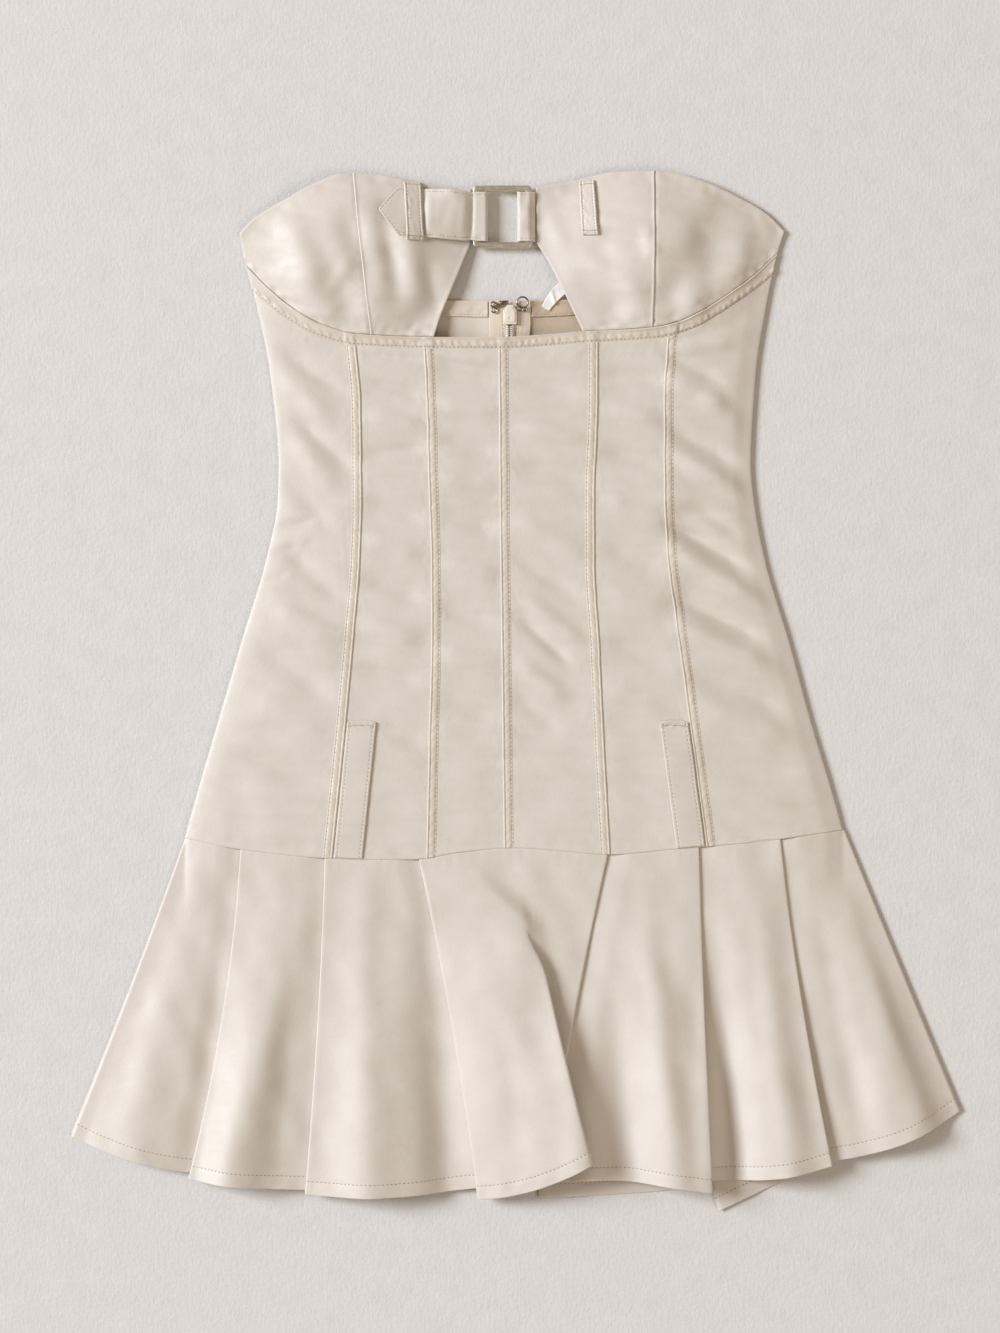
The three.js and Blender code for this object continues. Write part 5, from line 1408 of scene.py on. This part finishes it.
class Flounce:
    """A ring of cloth in knife pleats. up is 1 where its folds stand up and -1 where they go down."""

    def __init__(self, pleats, panels, level, up, roll, steps, arc):
        self.pleats, self.panels, self.level, self.up = pleats, panels, level, up
        self.roll, self.steps, self.arc = roll, steps, arc

    def fold_lift(self, pleat, v):
        """How far the upper ply stands above its plain height at a fold."""
        lift = 2 * self.roll(v) - PLY
        return lift + pleat[5] * smooth((v - 0.2) / 0.8) if self.up > 0 and pleat[4] > 0 else lift

    def section(self, v):
        """The middle points (x, z, hem) of one row, left to right along the cloth."""
        points = []
        for k, panel in enumerate(self.panels):
            before = self.pleats[k - 1] if k else None
            after = self.pleats[k] if k < len(self.pleats) else None
            start = along(before or FLOUNCE_LEFT, v)
            end = along(after or FLOUNCE_RIGHT, v)
            if self.up > 0 and k == FLAP_PANEL:
                points.append(self.flap(panel, after, start, end, v))
            else:
                points.append(self.plain(panel, before, after, start, end, v))
            if after:
                points.append(self.turned(panel, self.panels[k + 1], after, v, points[-1][-1]))
        return np.concatenate(points)

    def plain(self, panel, before, after, start, end, v):
        """A row of a panel between two folds."""
        wide = end - start
        roll = self.roll(v)
        under_start = before is not None and before[4] > 0
        under_end = after is not None and after[4] < 0
        top_start = before is not None and not under_start
        top_end = after is not None and not under_end
        xs = []
        if under_start:
            xs.append(np.linspace(start - before[3] + PLY / 2, start, 7)[:-1])
        near = np.linspace(0, 1, self.steps)
        near = near + 0.12 * np.sin(2 * np.pi * near) / (-2 * np.pi) * 2
        xs.append(lerp(start + roll * top_start, end - roll * top_end, near))
        if under_end:
            xs.append(np.linspace(end, end + after[3] - PLY / 2, 7)[1:])
        x = np.concatenate(xs)
        from_start, from_end = x - start, end - x
        t = from_start / wide
        ridge = panel[3] * smooth(v) * peaked(t, panel[4])
        dip = 0
        if under_start:
            dip = dip + 2 * PLY * smooth(1 - from_start / LAP_RUN)
        if under_end:
            dip = dip + 2 * PLY * smooth(1 - from_end / LAP_RUN)
        if top_start:
            dip = dip - (2 * roll - PLY) * (1 - smooth(from_start / (0.4 * wide)))
        if top_end:
            dip = dip - self.fold_lift(after, v) * (1 - smooth(from_end / (0.5 * wide)))
        z = self.level(x, v) + ridge - self.up * dip
        hem_start = start - before[3] if under_start and self.up < 0 else start
        return np.stack([x, z, hem_at(panel, hem_start, end, x)], -1)

    def flap(self, panel, after, start, end, v):
        """A row of the panel that folds over itself."""
        first, last = start + self.roll(v), end - self.roll(v)
        edge = along(FLAP_EDGE, v)
        back = edge - FLAP_DEPTH * v**1.3
        soft, soft_end = 2 * self.roll(v) - PLY, self.fold_lift(after, v)
        level = lambda x: self.level(np.asarray(x, float), v)
        under_z = float(level(back)) + PLY + 0.3
        top_z = under_z + PLY / 2 + max(0.3, FLAP_RISE * min(1, (v - FLAP_START) / 0.62))
        t = np.linspace(0, 1, int(self.steps * 1.2))
        over = np.stack([
            lerp(first, edge - FLAP_ROLL, t),
            lerp(float(level(first)) + soft, top_z, smooth(t)) + panel[3] * peaked(t, panel[4]),
        ], -1)
        roll = min(FLAP_ROLL, (top_z - under_z) / 2)
        edge_turn = fold_arc(edge, top_z, top_z - 2 * roll, 1, self.arc)[1:]
        inner_turn = fold_arc(back, under_z, under_z - PLY - 0.3, -1, self.arc)
        s = np.linspace(0, 1, self.steps)[1:]
        below_x = lerp(back + PLY / 2, last, s)
        below = np.stack([below_x, lerp(level(below_x), float(level(last)) + soft_end, s)], -1)
        gap = np.linspace(0, 1, 10)[1:-1, None]
        between_turns = lerp(edge_turn[-1], inner_turn[0], gap)
        folded = np.concatenate([over, edge_turn, between_turns, inner_turn, below])
        lengths = np.concatenate([[0], np.cumsum(np.linalg.norm(np.diff(folded, axis=0), axis=1))])
        share = lengths / lengths[-1]
        flat_x = lerp(first, last, share)
        flat = np.stack([flat_x, level(flat_x) + lerp(soft, soft_end, share)], -1)
        amount = smooth((v - FLAP_START) / (FLAP_FULL - FLAP_START))
        xz = lerp(flat, folded, amount)
        reach = 0.2 + 26 * (1 - smooth((v - FLAP_START) / 0.3))
        weight = bell(lengths[:, None] - lengths, reach) * np.gradient(lengths)
        softened = weight @ xz / weight.sum(1, keepdims=True)
        hold = smooth(np.minimum(lengths, lengths[-1] - lengths) / (2 * reach))
        xz = lerp(xz, softened, hold[:, None])
        early = 4.4 * smooth(v / 0.17) * (1 - smooth((v - 0.2) / 0.3))
        off = xz[:, 0] - np.interp(v, FLAP_CREST_AT, FLAP_CREST)
        xz[:, 1] += early * bell(off, np.where(off < 0, 26, 10))
        return np.concatenate([xz, hem_at(panel, start, edge, folded[:, 0])[:, None]], 1)

    def turned(self, panel, following, after, v, last):
        """A row of the cloth that is turned under at a pleat, from one panel to the next."""
        visible = along(after, v)
        roll = self.roll(v)
        lap, up = after[4], self.up
        hidden = visible - lap * after[3]
        level = lambda x: float(self.level(np.asarray(x, float), v))
        turned = lambda x: level(x) - up * PLY
        across = lambda a, b: np.stack([lerp(a, b, s) for s in np.linspace(0, 1, 7)[1:-1]])
        if lap < 0:
            start = turned(visible + roll)
            inner = fold_arc(hidden, last[1], last[1] + up * PLY, 1, self.arc)[1:]
            outer = fold_arc(visible, start, start + up * 2 * roll, -1, self.arc)[:-1]
            points = np.concatenate([inner, across(inner[-1], outer[0]), outer])
        else:
            low = level(hidden + PLY / 2) - up * 2 * PLY
            under = last[1] - 2 * roll if up > 0 else turned(visible - roll)
            outer = fold_arc(visible, last[1], under, 1, self.arc)[1:]
            inner = fold_arc(hidden, low + up * PLY, low, -1, self.arc)[:-1]
            points = np.concatenate([outer, across(outer[-1], inner[0]), inner])
        s = np.arange(1, len(points) + 1) / (len(points) + 1)
        return np.concatenate([points, lerp(panel[2], following[0], s)[:, None]], 1)


def make_flounce(name, flounce, rests_on, step, shape):
    rows = stations(SKIRT_LENGTH, step, (SKIRT_LENGTH - HEM,))
    sections = np.array([flounce.section(v) for v in rows])
    x, z, hem = sections[..., 0], sections[..., 1], sections[..., 2]
    seam_y = hip_seam(x[0]) + 1.2
    y = lerp(seam_y, hem, rows[:, None])
    fade = smooth(rows[:, None] / 0.1)
    middle = np.stack([x, y, z + fade * shape(x, y)], -1)

    def relief(far, grid):
        total = groove(far["bottom"] - HEM, 0.12, 0.6)
        if flounce.up > 0:
            total = total + seam_dip(far, ("top",), 1.1, 1.5)
        total = total + 0.03 * smooth((9.2 - far["bottom"]) / 1.2)
        total = total + pucker(far["bottom"], grid, 7, 33, 10, 4, 0.12)
        return total + pucker(far["top"], grid, 7, 35, 8, 4, 0.07)

    cloth = cloth_piece(name, middle, rests_on, relief, FLOUNCE_CLOTH)
    stitch("stitches_hem", cloth.line("bottom", HEM, above=0.05), 3.0, 1.9, 0.24)


def front_shape(x, y):
    """The soft folds of the front flounce, none at its sides."""
    left, right = (np.interp(-y, SKIRT_DOWN, edge) for edge in SKIRT_EDGES)
    side = np.minimum(x - left, right - x)
    rough = 0.28 * waves(x, y, 37, 12, 55, 0.6) + 0.10 * waves(x, y, 38, 12, 22)
    return (SKIRT_DEPTH * ridges(SKIRT_FOLDS, x, y, fan) + rough) * smooth(side / 14)


front_roll = lambda v: lerp(PLY / 2, HEM_ROLL, smooth(v))
front_flounce = Flounce(FRONT_PLEATS, FRONT_PANELS, front_level, 1, front_roll, 34, 6)
back_level, back_roll = lambda x, v: CLOTH / 2 + 0 * x, lambda v: PLY / 2
back_flounce = Flounce(BACK_PLEATS, BACK_PANELS, back_level, -1, back_roll, 16, 4)
make_flounce("front_flounce", front_flounce, ["back_flounce"], 3.0, front_shape)
make_flounce("back_flounce", back_flounce, ["floor"], 5.0, lambda x, y: 0 * x)

for group in STITCHES:
    slot = "inside_cloth" if group == "stitches_inside" else "cream_cloth"
    finish_piece(sew(group), THREAD, slot)
